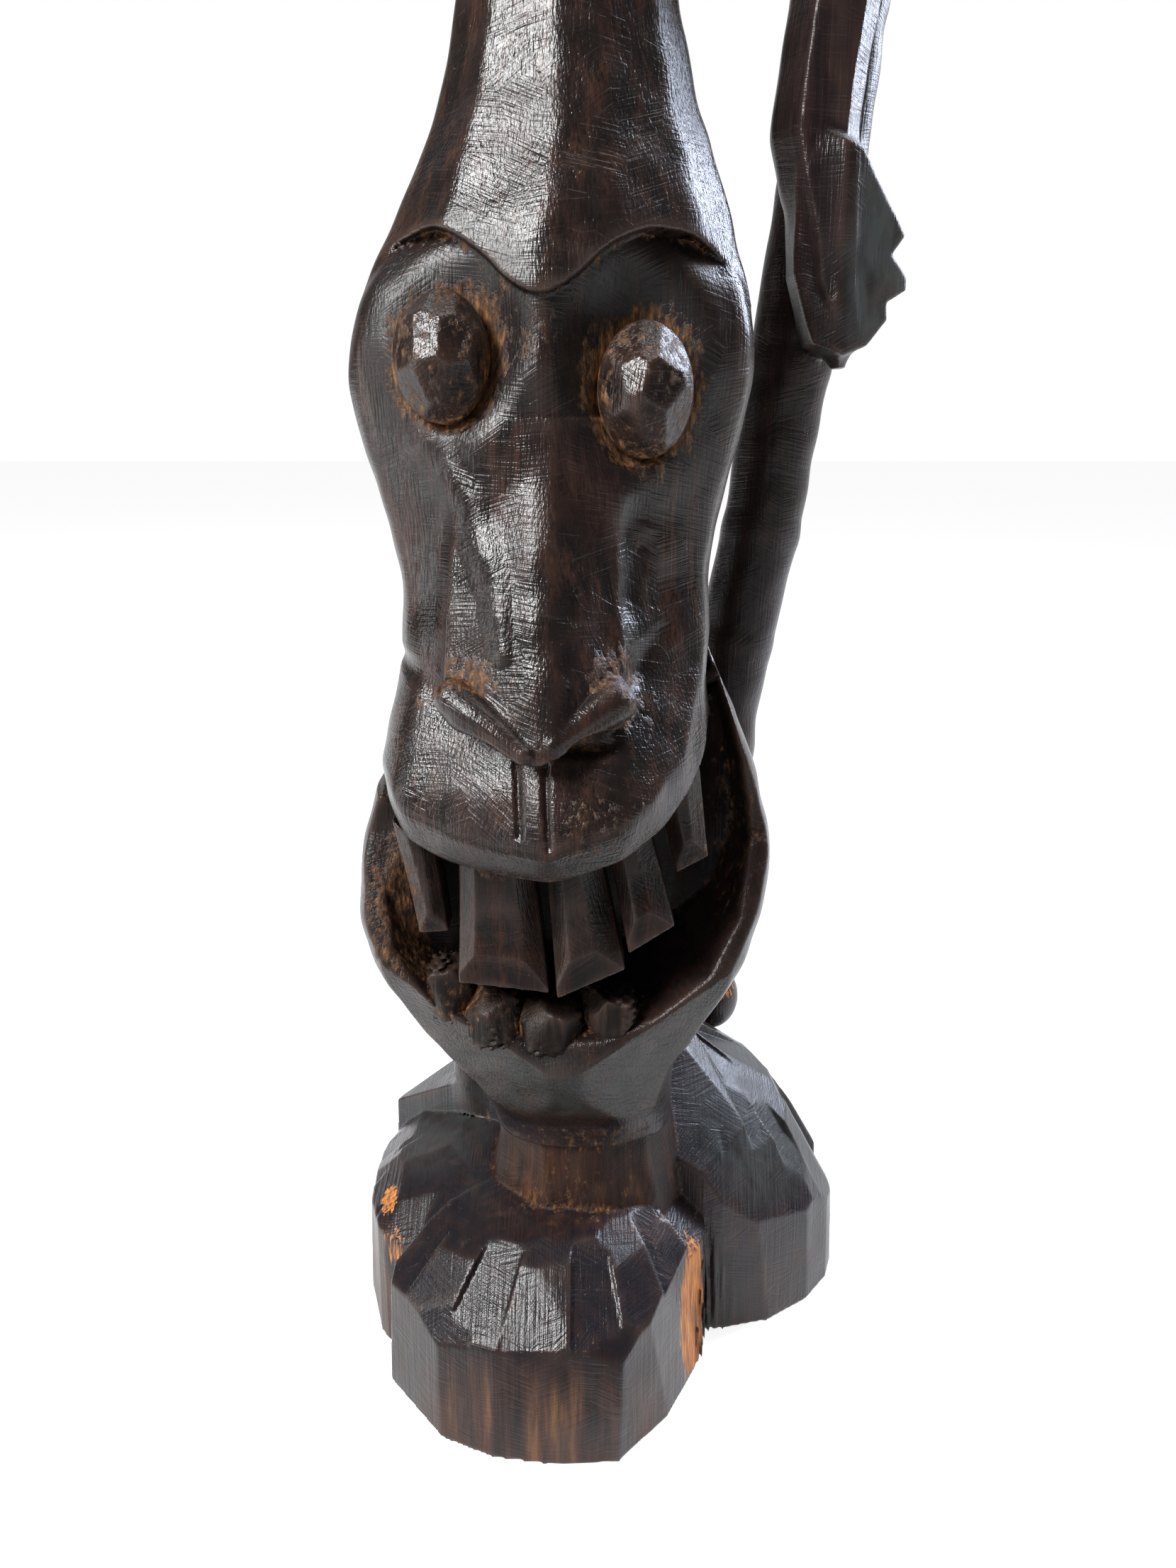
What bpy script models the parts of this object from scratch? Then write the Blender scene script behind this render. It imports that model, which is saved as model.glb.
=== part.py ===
"""Tall carved ancestor figure: a long grinning head on a chiselled base with a small figure behind it.

Sizes below are in millimetres and are turned into metres when a mesh is made.
X runs to the right, Y away from the front, Z up. The base rests on Z = 0.
"""

import math

import bmesh
import bpy
from mathutils import Vector

# Driving dimensions, millimetres
LOG_WIDTH = 163.0
LOG_DEPTH = 164.0
FIGURE_HEIGHT = 524.0
GAP = 0.5
FRONT_WALL = 38.0
SIDE_WALL = 50.0
REAR_WALL = 60.0
NECK_SEAT = 61.0
REAR_TOP = 90.0
MOUTH_DEPTH = 58.0
EYE_WIDTH = 23.0
EYE_HEIGHT = 30.0
EYE_DEPTH = 22.0
SOCKET_MARGIN = 4.5
TOOTH_THICKNESS = 13.0
POLE_DIAMETER = 25.0
LEG_DIAMETER = 17.0
ARCH_DIAMETER = 34.0
NOSE_REACH = 81.0

X_SCALE = LOG_WIDTH / 163.0 * 0.001
Y_SCALE = LOG_DEPTH / 164.0 * 0.001
Z_SCALE = FIGURE_HEIGHT / 524.0 * 0.001

# The lower edge of the brow: an M seen from the front, as (x, z)
BROW_LINE = [
    (-90.0, 318.0), (-62.0, 322.0), (-54.0, 333.0), (-42.0, 337.0), (-33.0, 332.0), (-25.0, 324.0),
    (-17.5, 320.0), (-10.0, 323.0), (-2.0, 331.0), (8.0, 336.0), (19.0, 335.0), (29.0, 327.0),
    (38.0, 316.0), (60.0, 312.0),
]

# The lower edge of the upper lip: a lopsided smile, as (x, z)
SMILE_LINE = [
    (-90.0, 197.0), (-62.0, 194.0), (-55.0, 188.0), (-43.0, 184.0), (-28.0, 182.0), (-13.0, 182.5),
    (-1.0, 186.5), (12.0, 193.0), (21.0, 202.0), (26.5, 214.0), (28.5, 227.0), (60.0, 229.5),
]

# Sections of the carved masses: height, left, right, front, back
NECK_SECTIONS = [
    (55.0, -37.0, 25.0, -44.0, 15.0),
    (63.0, -36.0, 24.0, -43.0, 14.0),
    (72.0, -34.5, 21.5, -41.0, 12.0),
    (84.0, -35.0, 21.0, -41.5, 12.0),
    (93.0, -37.0, 20.5, -44.0, 13.0),
]
JAW_SECTIONS = [
    (93.3, -37.0, 20.5, -44.5, 13.0),
    (103.0, -41.0, 20.0, -51.0, 15.0),
    (113.0, -46.5, 20.5, -58.0, 16.0),
    (122.0, -52.5, 25.0, -64.0, 17.0),
    (133.0, -60.0, 32.0, -62.0, 18.0),
    (145.0, -68.5, 39.5, -57.0, 18.5),
    (160.0, -71.5, 44.0, -51.0, 19.0),
    (178.0, -71.0, 45.5, -45.0, 19.0),
    (196.0, -67.5, 41.5, -42.0, 18.5),
    (214.0, -62.5, 35.0, -43.0, 18.0),
    (232.0, -57.0, 29.0, -44.0, 17.0),
]
MUZZLE_SECTIONS = [
    (174.0, -61.0, 33.0, -76.0, 18.0),
    (184.0, -64.0, 38.0, -82.0, 18.0),
    (196.0, -64.5, 39.0, -82.0, 18.0),
    (207.0, -62.5, 36.5, -78.0, 18.0),
    (219.0, -59.5, 33.0, -71.0, 17.5),
    (230.0, -57.0, 29.5, -65.0, 17.0),
]
FACE_SECTIONS = [
    (230.3, -57.0, 29.5, -64.5, 17.0),
    (240.0, -55.8, 27.5, -62.0, 16.5),
    (252.0, -55.7, 26.5, -59.0, 16.0),
    (268.0, -59.0, 28.0, -55.5, 16.0),
    (285.0, -65.0, 33.0, -52.5, 16.5),
    (300.0, -67.2, 36.0, -50.5, 17.0),
    (312.0, -66.4, 36.2, -49.5, 17.0),
    (326.0, -61.0, 33.5, -48.0, 16.5),
    (345.0, -52.0, 28.0, -46.0, 16.0),
]
CRANIUM_SECTIONS = [
    (308.0, -67.4, 36.8, -58.0, 17.5),
    (320.0, -64.0, 35.6, -59.0, 17.0),
    (330.0, -59.5, 33.0, -57.5, 16.0),
    (340.0, -54.0, 30.0, -54.0, 14.5),
    (355.0, -47.0, 25.0, -48.0, 12.0),
    (369.0, -42.0, 20.5, -43.0, 9.5),
    (384.0, -38.5, 17.0, -39.0, 7.0),
    (405.0, -35.0, 12.5, -37.0, 3.5),
    (430.0, -32.0, 8.0, -36.0, 0.5),
    (452.0, -30.5, 4.5, -36.0, -2.0),
]
SMALL_FACE_SECTIONS = [
    (309.0, 63.0, 70.0, 6.0, 21.5),
    (317.0, 59.0, 75.5, 2.0, 22.0),
    (327.0, 53.5, 77.5, -1.5, 22.0),
    (340.0, 50.5, 77.5, -3.0, 22.0),
    (352.0, 46.0, 73.0, -3.0, 22.0),
    (365.0, 43.5, 67.5, -2.0, 22.0),
]
SMALL_CRANIUM_SECTIONS = [
    (365.3, 43.5, 67.5, -2.0, 22.0),
    (380.0, 45.0, 68.5, -1.5, 22.0),
    (398.0, 47.0, 71.0, -1.0, 22.0),
    (425.0, 48.0, 72.0, -3.0, 21.0),
    (452.0, 47.0, 72.0, -6.0, 20.0),
]

# Upper teeth: name end, left, right, bottom, front
UPPER_TEETH = [
    ("far_left", -53.5, -45.5, 163.0, -63.0),
    ("left", -41.0, -19.0, 148.0, -71.0),
    ("middle", -14.0, 1.5, 150.0, -70.0),
    ("right", 4.0, 15.0, 162.0, -65.0),
    ("far_right", 17.0, 25.0, 179.0, -57.0),
]

# Lower teeth: name end, left, right, bottom, top, front
LOWER_TEETH = [
    ("far_left", -47.0, -38.5, 126.0, 146.0, -52.0),
    ("left", -37.0, -24.5, 120.0, 141.0, -56.0),
    ("middle", -22.5, -9.5, 118.0, 140.0, -58.0),
    ("right", -7.5, 4.0, 120.0, 143.0, -56.0),
]

# Outline of the foot of the base, as (x, y), anticlockwise from the front
FOOTPRINT = [
    (-35.0, -77.0), (-15.0, -80.0), (4.6, -78.0), (14.0, -68.0), (20.7, -56.0), (27.0, -41.0),
    (33.0, -27.0), (48.0, -25.0), (62.0, -18.0), (73.0, -9.0), (80.5, 3.0), (81.5, 22.0),
    (76.0, 44.0), (62.0, 63.0), (40.0, 76.0), (12.0, 82.0), (-18.0, 82.0), (-46.0, 73.0),
    (-66.0, 55.0), (-78.0, 32.0), (-81.5, 8.0), (-79.5, -15.0), (-72.5, -31.0), (-68.0, -50.0),
    (-54.0, -66.0),
]
BASE_HEART = (-7.0, -8.0)

# Outline of the mouth opening, as (x, z), anticlockwise from the right corner
MOUTH_OUTLINE = [
    (31.0, 229.0), (20.0, 240.0), (-20.0, 240.0), (-56.0, 215.0), (-61.0, 190.0), (-62.0, 172.0),
    (-59.5, 153.0), (-48.0, 136.0), (-31.5, 129.5), (-15.5, 127.5), (-1.0, 129.0), (12.0, 133.5),
    (27.5, 145.0), (36.5, 161.0), (39.0, 182.0), (36.5, 203.0),
]


def scaled(point):
    return Vector((point[0] * X_SCALE, point[1] * Y_SCALE, point[2] * Z_SCALE))


def wood(name, shade, roughness):
    """A dark oiled hardwood; shade runs from 0 (black heartwood) to 1 (brown)."""
    material = bpy.data.materials.new(name + "_wood")
    material.use_nodes = True
    surface = material.node_tree.nodes["Principled BSDF"]
    colour = (0.012 + 0.050 * shade, 0.009 + 0.026 * shade, 0.008 + 0.012 * shade, 1.0)
    surface.inputs["Base Color"].default_value = colour
    surface.inputs["Roughness"].default_value = roughness
    surface.inputs["Metallic"].default_value = 0.0
    return material


def add_object(name, mesh, shade=0.3, roughness=0.4):
    item = bpy.data.objects.new(name, mesh)
    bpy.context.scene.collection.objects.link(item)
    item.data.materials.append(wood(name, shade, roughness))
    item.parent = root
    return item


def skin(name, rings, shade=0.3, roughness=0.4):
    """One closed body through rings of equal count, capped at both ends."""
    mesh_data = bmesh.new()
    loops = []
    for ring in rings:
        loops.append([mesh_data.verts.new(scaled(point)) for point in ring])
    count = len(loops[0])
    for below, above in zip(loops, loops[1:]):
        for i in range(count):
            j = (i + 1) % count
            mesh_data.faces.new((below[i], below[j], above[j], above[i]))
    caps = [mesh_data.faces.new(list(reversed(loops[0]))), mesh_data.faces.new(loops[-1])]
    bmesh.ops.triangulate(mesh_data, faces=caps)
    bmesh.ops.recalc_face_normals(mesh_data, faces=mesh_data.faces[:])
    mesh = bpy.data.meshes.new(name)
    mesh_data.to_mesh(mesh)
    mesh_data.free()
    return add_object(name, mesh, shade, roughness)


def oval(height, left, right, front, back, count=32, squareness=2.3):
    """A horizontal rounded section between four limits."""
    points = []
    for i in range(count):
        angle = 2.0 * math.pi * (i + 0.5) / count
        across = math.copysign(abs(math.cos(angle)) ** (2.0 / squareness), math.cos(angle))
        along = math.copysign(abs(math.sin(angle)) ** (2.0 / squareness), math.sin(angle))
        x = (left + right) / 2.0 + (right - left) / 2.0 * across
        y = (front + back) / 2.0 + (back - front) / 2.0 * along
        points.append((x, y, height))
    return points


def mass(name, sections, count=32, squareness=2.3, shade=0.3, roughness=0.4):
    rings = [oval(*section, count=count, squareness=squareness) for section in sections]
    return skin(name, rings, shade, roughness)


def limb(name, path, radii, count=14, shade=0.3, roughness=0.4):
    """A round bar along a path of points, with its own radius at each."""
    rings = []
    points = [Vector(point) for point in path]
    side = Vector((0.0, 1.0, 0.0))
    for i, point in enumerate(points):
        ahead = points[min(i + 1, len(points) - 1)]
        behind = points[max(i - 1, 0)]
        direction = (ahead - behind).normalized()
        across = direction.cross(side).normalized()
        upward = across.cross(direction).normalized()
        ring = []
        for k in range(count):
            angle = 2.0 * math.pi * k / count
            ring.append(point + (across * math.cos(angle) + upward * math.sin(angle)) * radii[i])
        rings.append(ring)
    return skin(name, rings, shade, roughness)


def ball(name, centre, width, depth, height, segments=14, rows=10, shade=0.3, roughness=0.3):
    """A faceted egg made of a sphere with three different diameters."""
    mesh_data = bmesh.new()
    bmesh.ops.create_uvsphere(mesh_data, u_segments=segments, v_segments=rows, radius=0.5)
    for vertex in mesh_data.verts:
        x = centre[0] + vertex.co.x * width
        y = centre[1] + vertex.co.y * depth
        z = centre[2] + vertex.co.z * height
        vertex.co = scaled((x, y, z))
    mesh = bpy.data.meshes.new(name)
    mesh_data.to_mesh(mesh)
    mesh_data.free()
    return add_object(name, mesh, shade, roughness)


def hide(item):
    item.hide_render = True
    item.display_type = "WIRE"
    return item


def grown(item, amount=GAP):
    """A hidden copy pushed outward all round, used to leave clearance beside a neighbour."""
    mesh_data = bmesh.new()
    mesh_data.from_mesh(item.data)
    mesh_data.normal_update()
    for vertex in mesh_data.verts:
        vertex.co += vertex.normal * amount * 0.001
    mesh = bpy.data.meshes.new(item.name + "_room")
    mesh_data.to_mesh(mesh)
    mesh_data.free()
    return hide(add_object(item.name + "_room", mesh))


def combine(item, tool, operation="DIFFERENCE"):
    modifier = item.modifiers.new(operation.title() + "_" + tool.name, "BOOLEAN")
    modifier.operation = operation
    modifier.solver = "EXACT"
    modifier.object = tool


def curtain(name, line, drop, edge):
    """A hidden block whose one edge follows a line of (x, z); it reaches to the height `edge`."""
    front = [(x, -130.0, z + drop) for x, z in line]
    front += [(line[-1][0], -130.0, edge), (line[0][0], -130.0, edge)]
    back = [(x, 130.0, z) for x, y, z in front]
    return hide(skin(name, [front, back]))


# A clean scene and one parent for every body
for old in list(bpy.data.objects):
    bpy.data.objects.remove(old, do_unlink=True)
root = bpy.data.objects.new("root", None)
bpy.context.scene.collection.objects.link(root)

# Hidden blocks that part the masses along their natural creases
above_brow = curtain("above_brow", BROW_LINE, 0.0, 480.0)
below_brow = curtain("below_brow", BROW_LINE, 0.35, 200.0)
above_smile = curtain("above_smile", SMILE_LINE, 0.0, 300.0)
below_smile = curtain("below_smile", SMILE_LINE, 0.35, 90.0)

# Head: cranium, face, muzzle, jaw and neck
cranium = mass("cranium", CRANIUM_SECTIONS, shade=0.25, roughness=0.3)
combine(cranium, below_brow)

face = mass("face", FACE_SECTIONS, shade=0.35, roughness=0.38)
combine(face, above_brow)

muzzle = mass("upper_lip", MUZZLE_SECTIONS, squareness=2.2, shade=0.3, roughness=0.33)
combine(muzzle, below_smile)

jaw = mass("jaw", JAW_SECTIONS, shade=0.25, roughness=0.4)
combine(jaw, above_smile)

neck = mass("neck", NECK_SECTIONS, shade=0.45, roughness=0.45)

# The open mouth, hollowed out of the jaw from the front
hollow_rings = []
for depth, shrink in ((-100.0, 1.0), (-52.0, 1.0), (-34.0, 0.90), (-80.0 + MOUTH_DEPTH, 0.68)):
    ring = []
    for x, z in MOUTH_OUTLINE:
        ring.append((-12.0 + (x + 12.0) * shrink, depth, 185.0 + (z - 185.0) * shrink))
    hollow_rings.append(ring)
hollow = hide(skin("mouth_hollow", hollow_rings))
combine(jaw, hollow)

# Upper teeth hang below the lip edge
for tag, left, right, bottom, front in UPPER_TEETH:
    middle = (left + right) / 2.0
    half = (right - left) / 2.0
    back = front + TOOTH_THICKNESS
    sections = [
        (bottom, middle - half * 0.80, middle + half * 0.80, front + 3.0, back - 2.0),
        (bottom + 3.5, middle - half * 0.98, middle + half * 0.98, front + 0.4, back),
        (bottom + 12.0, middle - half * 0.94, middle + half * 0.94, front, back),
        (bottom + 24.0, middle - half * 0.86, middle + half * 0.86, front + 2.0, back),
        (bottom + 42.0, middle - half * 0.84, middle + half * 0.84, front + 4.0, back),
    ]
    tooth = mass("upper_tooth_" + tag, sections, count=12, squareness=4.0, shade=0.3)
    combine(tooth, above_smile)

# Lower teeth stand in the floor of the mouth
for tag, left, right, bottom, top, front in LOWER_TEETH:
    middle = (left + right) / 2.0
    half = (right - left) / 2.0
    back = front + TOOTH_THICKNESS
    sections = [
        (bottom, middle - half * 0.90, middle + half * 0.90, front + 1.0, back),
        (top - 7.0, middle - half * 0.96, middle + half * 0.96, front, back),
        (top - 2.0, middle - half * 0.82, middle + half * 0.82, front + 1.0, back - 1.0),
        (top, middle - half * 0.50, middle + half * 0.50, front + 3.5, back - 3.5),
    ]
    tooth = mass("lower_tooth_" + tag, sections, count=12, squareness=3.0, shade=0.25)
    combine(jaw, grown(tooth))

# Eyes bulge out of carved sockets
for tag, x, y, z in (("left", -41.0, -49.0, 307.0), ("right", 8.0, -49.0, 300.0)):
    eye = ball("eye_" + tag, (x, y, z), EYE_WIDTH, EYE_DEPTH, EYE_HEIGHT, shade=0.2)
    margin = 2.0 * SOCKET_MARGIN
    socket_centre = (x, y - 8.0, z + 1.0)
    socket = hide(ball("socket_" + tag, socket_centre, EYE_WIDTH + margin, EYE_DEPTH, EYE_HEIGHT + margin))
    combine(face, socket)
    combine(face, grown(eye))

# Nose: a thin ridge that widens to two wings above the lip
nose_sections = [
    (213.0, -21.5, -15.5, -NOSE_REACH, -66.0),
    (219.0, -31.0, -5.5, -79.0, -60.0),
    (225.0, -39.5, 2.0, -76.0, -56.0),
    (231.0, -38.0, 0.5, -72.5, -54.0),
    (238.0, -30.0, -7.5, -70.0, -52.0),
    (252.0, -25.0, -13.0, -65.5, -50.0),
    (268.0, -22.0, -15.5, -60.5, -48.0),
    (284.0, -20.0, -17.0, -56.0, -47.0),
]
nose = mass("nose", nose_sections, count=12, squareness=1.7, shade=0.3, roughness=0.33)
nose_room = grown(nose)
combine(face, nose_room)
combine(muzzle, nose_room)

# Base: one chiselled mound parted into four lobes
def mound_ring(shrink, level):
    """The footprint drawn in toward the heart of the base; level 0 is the floor, 1 the wall top."""
    ring = []
    for x, y in FOOTPRINT:
        rear = min(max((y + 30.0) / 90.0, 0.0), 1.0)
        wall = FRONT_WALL + (REAR_WALL - FRONT_WALL) * rear
        if abs(x) > 60.0:
            wall = max(wall, SIDE_WALL - 6.0 + 6.0 * rear)
        aside = min(max((x + 60.0) / 110.0, 0.0), 1.0)
        crest = NECK_SEAT + (REAR_TOP - NECK_SEAT) * rear * aside
        wall = min(wall, FRONT_WALL + 4.0 + (REAR_WALL - FRONT_WALL) * aside)
        height = wall * min(level, 1.0) + (crest - wall) * max(level - 1.0, 0.0)
        near_x = BASE_HEART[0] + (x - BASE_HEART[0]) * shrink
        near_y = BASE_HEART[1] + (y - BASE_HEART[1]) * shrink
        ring.append((near_x, near_y, height))
    return ring


LOBES = [
    ("front", [(-10.0, -12.0), (-120.0, -52.0), (-120.0, -130.0), (90.0, -130.0), (78.0, -46.0)]),
    ("right", [(-10.0, -12.0), (78.0, -46.0), (130.0, -60.0), (130.0, 90.0), (60.0, 130.0)]),
    ("rear", [(-10.0, -12.0), (60.0, 130.0), (-80.0, 130.0)]),
    ("left", [(-10.0, -12.0), (-80.0, 130.0), (-130.0, 90.0), (-120.0, -52.0)]),
]

neck_room = grown(neck)
left_leg = limb(
    "left_leg",
    [(-43, 17, 55), (-44, 16, 75), (-45, 17, 97), (-37, 26, 125), (-15, 32, 152), (8, 34, 174)],
    [LEG_DIAMETER / 2.0] * 6,
)
right_foot = ball("right_foot", (39.5, 48.0, 86.0), 21.0, 24.0, 25.0, shade=0.4)
right_leg = limb(
    "right_leg",
    [(38, 46, 90), (37, 43, 110), (34, 40, 135), (31, 37, 160), (30, 36, 172)],
    [LEG_DIAMETER / 2.0] * 5,
)
combine(right_leg, grown(right_foot))
hips = ball("hips", (26.0, 35.0, 184.0), 42.0, 32.0, 34.0, shade=0.3)
hips_room = grown(hips)
combine(left_leg, hips_room)
combine(right_leg, hips_room)

for tag, outline in LOBES:
    rings = [
        mound_ring(0.975, 0.0),
        mound_ring(1.0, 0.30),
        mound_ring(0.985, 1.0),
        mound_ring(0.86, 1.45),
        mound_ring(0.66, 1.85),
        mound_ring(0.40, 2.0),
        mound_ring(0.04, 2.0),
    ]
    lobe = skin("base_" + tag, rings, shade=0.35, roughness=0.45)
    centre_x = sum(x for x, y in outline) / len(outline)
    centre_y = sum(y for x, y in outline) / len(outline)
    inset = []
    for x, y in outline:
        reach = math.hypot(x - centre_x, y - centre_y)
        inset.append((x + (centre_x - x) * 0.5 / reach, y + (centre_y - y) * 0.5 / reach))
    wedge_rings = [[(x, y, z) for x, y in inset] for z in (-20.0, 140.0)]
    wedge = hide(skin("wedge_" + tag, wedge_rings))
    combine(lobe, wedge, "INTERSECT")
    combine(lobe, neck_room)
    if tag in ("left", "rear"):
        combine(lobe, grown(left_leg))
    if tag in ("right", "rear"):
        combine(lobe, grown(right_foot))

# Small figure: body pole, head, features
pole_radius = POLE_DIAMETER / 2.0
head_back = max(row[4] for row in SMALL_FACE_SECTIONS + SMALL_CRANIUM_SECTIONS)
pole_y = head_back + GAP + pole_radius
pole_line = [(36, 190), (42, 222), (49, 258), (55.6, 308), (62.5, 363), (66, 404), (66.5, 430), (66, 452)]
pole_path = [(x, pole_y, z) for x, z in pole_line]
pole = limb("body", pole_path, [pole_radius] * 8, count=16, shade=0.25, roughness=0.32)
combine(pole, hips_room)

small_face = mass("small_face", SMALL_FACE_SECTIONS, count=20, squareness=2.6, shade=0.3)
small_cranium = mass("small_cranium", SMALL_CRANIUM_SECTIONS, count=20, squareness=2.6, shade=0.25)

small_features = [
    ("small_nose", (74.0, 10.0, 341.0), 15.0, 9.0, 13.0),
    ("small_lips", (76.0, 10.0, 330.0), 10.0, 12.0, 7.5),
    ("small_chin", (73.0, 10.5, 319.0), 11.0, 13.0, 11.0),
]
for tag, centre, width, depth, height in small_features:
    feature = ball(tag, centre, width, depth, height, segments=10, rows=8, shade=0.3)
    combine(small_face, grown(feature))

# Crest: a rounded arch that ties the tall cranium to the small head and the body pole
arch_path = [(-13.0, -17.0, 452.4), (-13.0, -17.0, 456.0)]
for i in range(1, 12):
    turn = math.pi * i / 12.0
    arch_path.append((23.5 - 36.5 * math.cos(turn), 3.5 - 20.5 * math.cos(turn), 456.0 + 50.0 * math.sin(turn)))
arch_path += [(60.0, 24.0, 456.0), (60.0, 24.0, 452.4)]
arch_radii = [ARCH_DIAMETER / 2.0 - 0.4] * 2 + [ARCH_DIAMETER / 2.0 + 1.0] * 11 + [ARCH_DIAMETER / 2.0 + 2.0] * 2
crest = limb("crest", arch_path, arch_radii, count=18, shade=0.25, roughness=0.32)
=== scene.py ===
"""Carved ancestor figure in dark hardwood, shaped as one field of space and parted into its carved elements."""

import math

import bpy
import mathutils
import numpy as np
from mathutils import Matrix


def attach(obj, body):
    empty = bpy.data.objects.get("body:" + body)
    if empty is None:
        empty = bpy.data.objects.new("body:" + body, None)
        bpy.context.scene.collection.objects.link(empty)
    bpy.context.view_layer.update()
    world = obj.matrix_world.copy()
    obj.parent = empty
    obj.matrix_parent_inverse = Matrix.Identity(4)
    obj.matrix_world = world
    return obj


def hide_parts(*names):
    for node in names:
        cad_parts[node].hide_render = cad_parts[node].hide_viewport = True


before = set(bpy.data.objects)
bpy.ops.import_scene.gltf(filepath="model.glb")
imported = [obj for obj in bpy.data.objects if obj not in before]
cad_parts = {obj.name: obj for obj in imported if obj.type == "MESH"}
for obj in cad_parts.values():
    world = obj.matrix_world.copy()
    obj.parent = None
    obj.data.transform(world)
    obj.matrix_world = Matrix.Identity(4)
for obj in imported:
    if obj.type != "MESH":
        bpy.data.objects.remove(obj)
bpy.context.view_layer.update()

# Lattice pitch in millimetres
PITCH = 0.8

LOW = np.array((-84.0, -90.0, -4.0))
HIGH = np.array((88.0, 88.0, 529.0))
LOWEST = (-99, -99, -99)
HIGHEST = (99, 99, 999)

CHISEL = np.random.RandomState(11)


# ---- fields of space
def soft_max(a, b, k):
    """The larger of two fields, with a rounded corner about k millimetres wide."""
    if k <= 0.0:
        return np.maximum(a, b)
    h = np.clip(0.5 + 0.5 * (a - b) / k, 0.0, 1.0)
    return b + (a - b) * h + k * h * (1.0 - h)


def soft_min(a, b, k):
    return -soft_max(-a, -b, k)


def at_height(z, table, soften=5.0):
    """Values read from rows of (height, value, ...), softened along the height."""
    rows = np.array(table, dtype=float)
    shifts = np.linspace(-soften, soften, 7)
    weights = 1.2 - np.abs(shifts) / soften
    values = []
    for column in range(1, rows.shape[1]):
        total = 0.0
        for shift, weight in zip(shifts, weights):
            total = total + weight * np.interp(z + shift, rows[:, 0], rows[:, column])
        values.append((total / weights.sum()).astype(np.float32))
    return values


class Block:
    """A block of space on a regular lattice; the field is below zero inside the wood."""

    def __init__(self, low, high, pitch):
        self.low = np.array(low, dtype=float)
        self.pitch = pitch
        counts = np.ceil((np.array(high) - self.low) / pitch).astype(int) + 1
        self.axes = [(self.low[i] + pitch * np.arange(counts[i])).astype(np.float32) for i in range(3)]
        self.field = np.full(counts, 40.0, np.float32)

    def part(self, low=LOWEST, high=HIGHEST):
        """The slices of a box of the block, and the places of its entries."""
        cut = []
        for i in range(3):
            first = max(int((low[i] - self.low[i]) / self.pitch), 0)
            last = min(int((high[i] - self.low[i]) / self.pitch) + 2, self.field.shape[i])
            cut.append(slice(first, last))
        x = self.axes[0][cut[0]][:, None, None]
        y = self.axes[1][cut[1]][None, :, None]
        z = self.axes[2][cut[2]][None, None, :]
        return tuple(cut), x, y, z

    def add(self, shape, low=LOWEST, high=HIGHEST, soft=0.0):
        cut, x, y, z = self.part(low, high)
        self.field[cut] = soft_min(self.field[cut], shape(x, y, z), soft)

    def carve(self, shape, low=LOWEST, high=HIGHEST, soft=0.0):
        cut, x, y, z = self.part(low, high)
        self.field[cut] = soft_max(self.field[cut], -shape(x, y, z), soft)

    def trim(self, shape, low=LOWEST, high=HIGHEST, soft=0.0):
        cut, x, y, z = self.part(low, high)
        self.field[cut] = soft_max(self.field[cut], shape(x, y, z), soft)

    def press(self, depth, low, high):
        """Sink the surface by a depth that varies over the block."""
        cut, x, y, z = self.part(low, high)
        self.field[cut] += depth(x, y, z)

    def even_out(self):
        """Divide by the slope, so that values near the surface are true distances."""
        gx, gy, gz = np.gradient(self.field, self.pitch)
        slope = np.sqrt(gx * gx + gy * gy + gz * gz)
        self.field /= np.clip(slope, 0.35, 2.0)


def section(table, power=2.4, planes=(), ends=(-1000.0, 1000.0), soften=5.0):
    """Rounded cross-sections stacked along the height, flattened by planes given as (degrees, reach)."""

    def shape(x, y, z):
        left, right, front, back = at_height(z, table, soften)
        u = (x - (left + right) / 2.0) / ((right - left) / 2.0)
        v = (y - (front + back) / 2.0) / ((back - front) / 2.0)
        radius = (np.abs(u) ** power + np.abs(v) ** power) ** (1.0 / power)
        for degrees, reach in planes:
            angle = math.radians(degrees)
            flat = (u * math.sin(angle) - v * math.cos(angle)) / reach
            radius = soft_max(radius, flat, 0.035)
        size = np.sqrt((right - left) * (back - front)) / 2.0
        return np.maximum(np.maximum((radius - 1.0) * size, ends[0] - z), z - ends[1])

    return shape


def egg(centre, radii):
    """An egg by its centre and its reach along each axis."""

    def shape(x, y, z):
        u = (x - centre[0]) / radii[0]
        v = (y - centre[1]) / radii[1]
        w = (z - centre[2]) / radii[2]
        near = np.sqrt(u * u + v * v + w * w)
        far = np.sqrt((u / radii[0]) ** 2 + (v / radii[1]) ** 2 + (w / radii[2]) ** 2)
        return near * (near - 1.0) / np.maximum(far, 1e-6)

    return shape


def rod(start, end, thick, thin):
    """A round bar between two points whose radius runs from thick to thin."""
    a = np.array(start, dtype=float)
    along = np.array(end, dtype=float) - a
    square = float(along @ along)

    def shape(x, y, z):
        t = ((x - a[0]) * along[0] + (y - a[1]) * along[1] + (z - a[2]) * along[2]) / square
        t = np.clip(t, 0.0, 1.0)
        dx = x - a[0] - t * along[0]
        dy = y - a[1] - t * along[1]
        dz = z - a[2] - t * along[2]
        return np.sqrt(dx * dx + dy * dy + dz * dz) - (thick + (thin - thick) * t)

    return shape


def path(points, radii):
    """A bent bar through points, with its own radius at each."""
    bars = [rod(points[i], points[i + 1], radii[i], radii[i + 1]) for i in range(len(points) - 1)]

    def shape(x, y, z):
        total = bars[0](x, y, z)
        for bar in bars[1:]:
            total = soft_min(total, bar(x, y, z), 1.5)
        return total

    return shape


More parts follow.
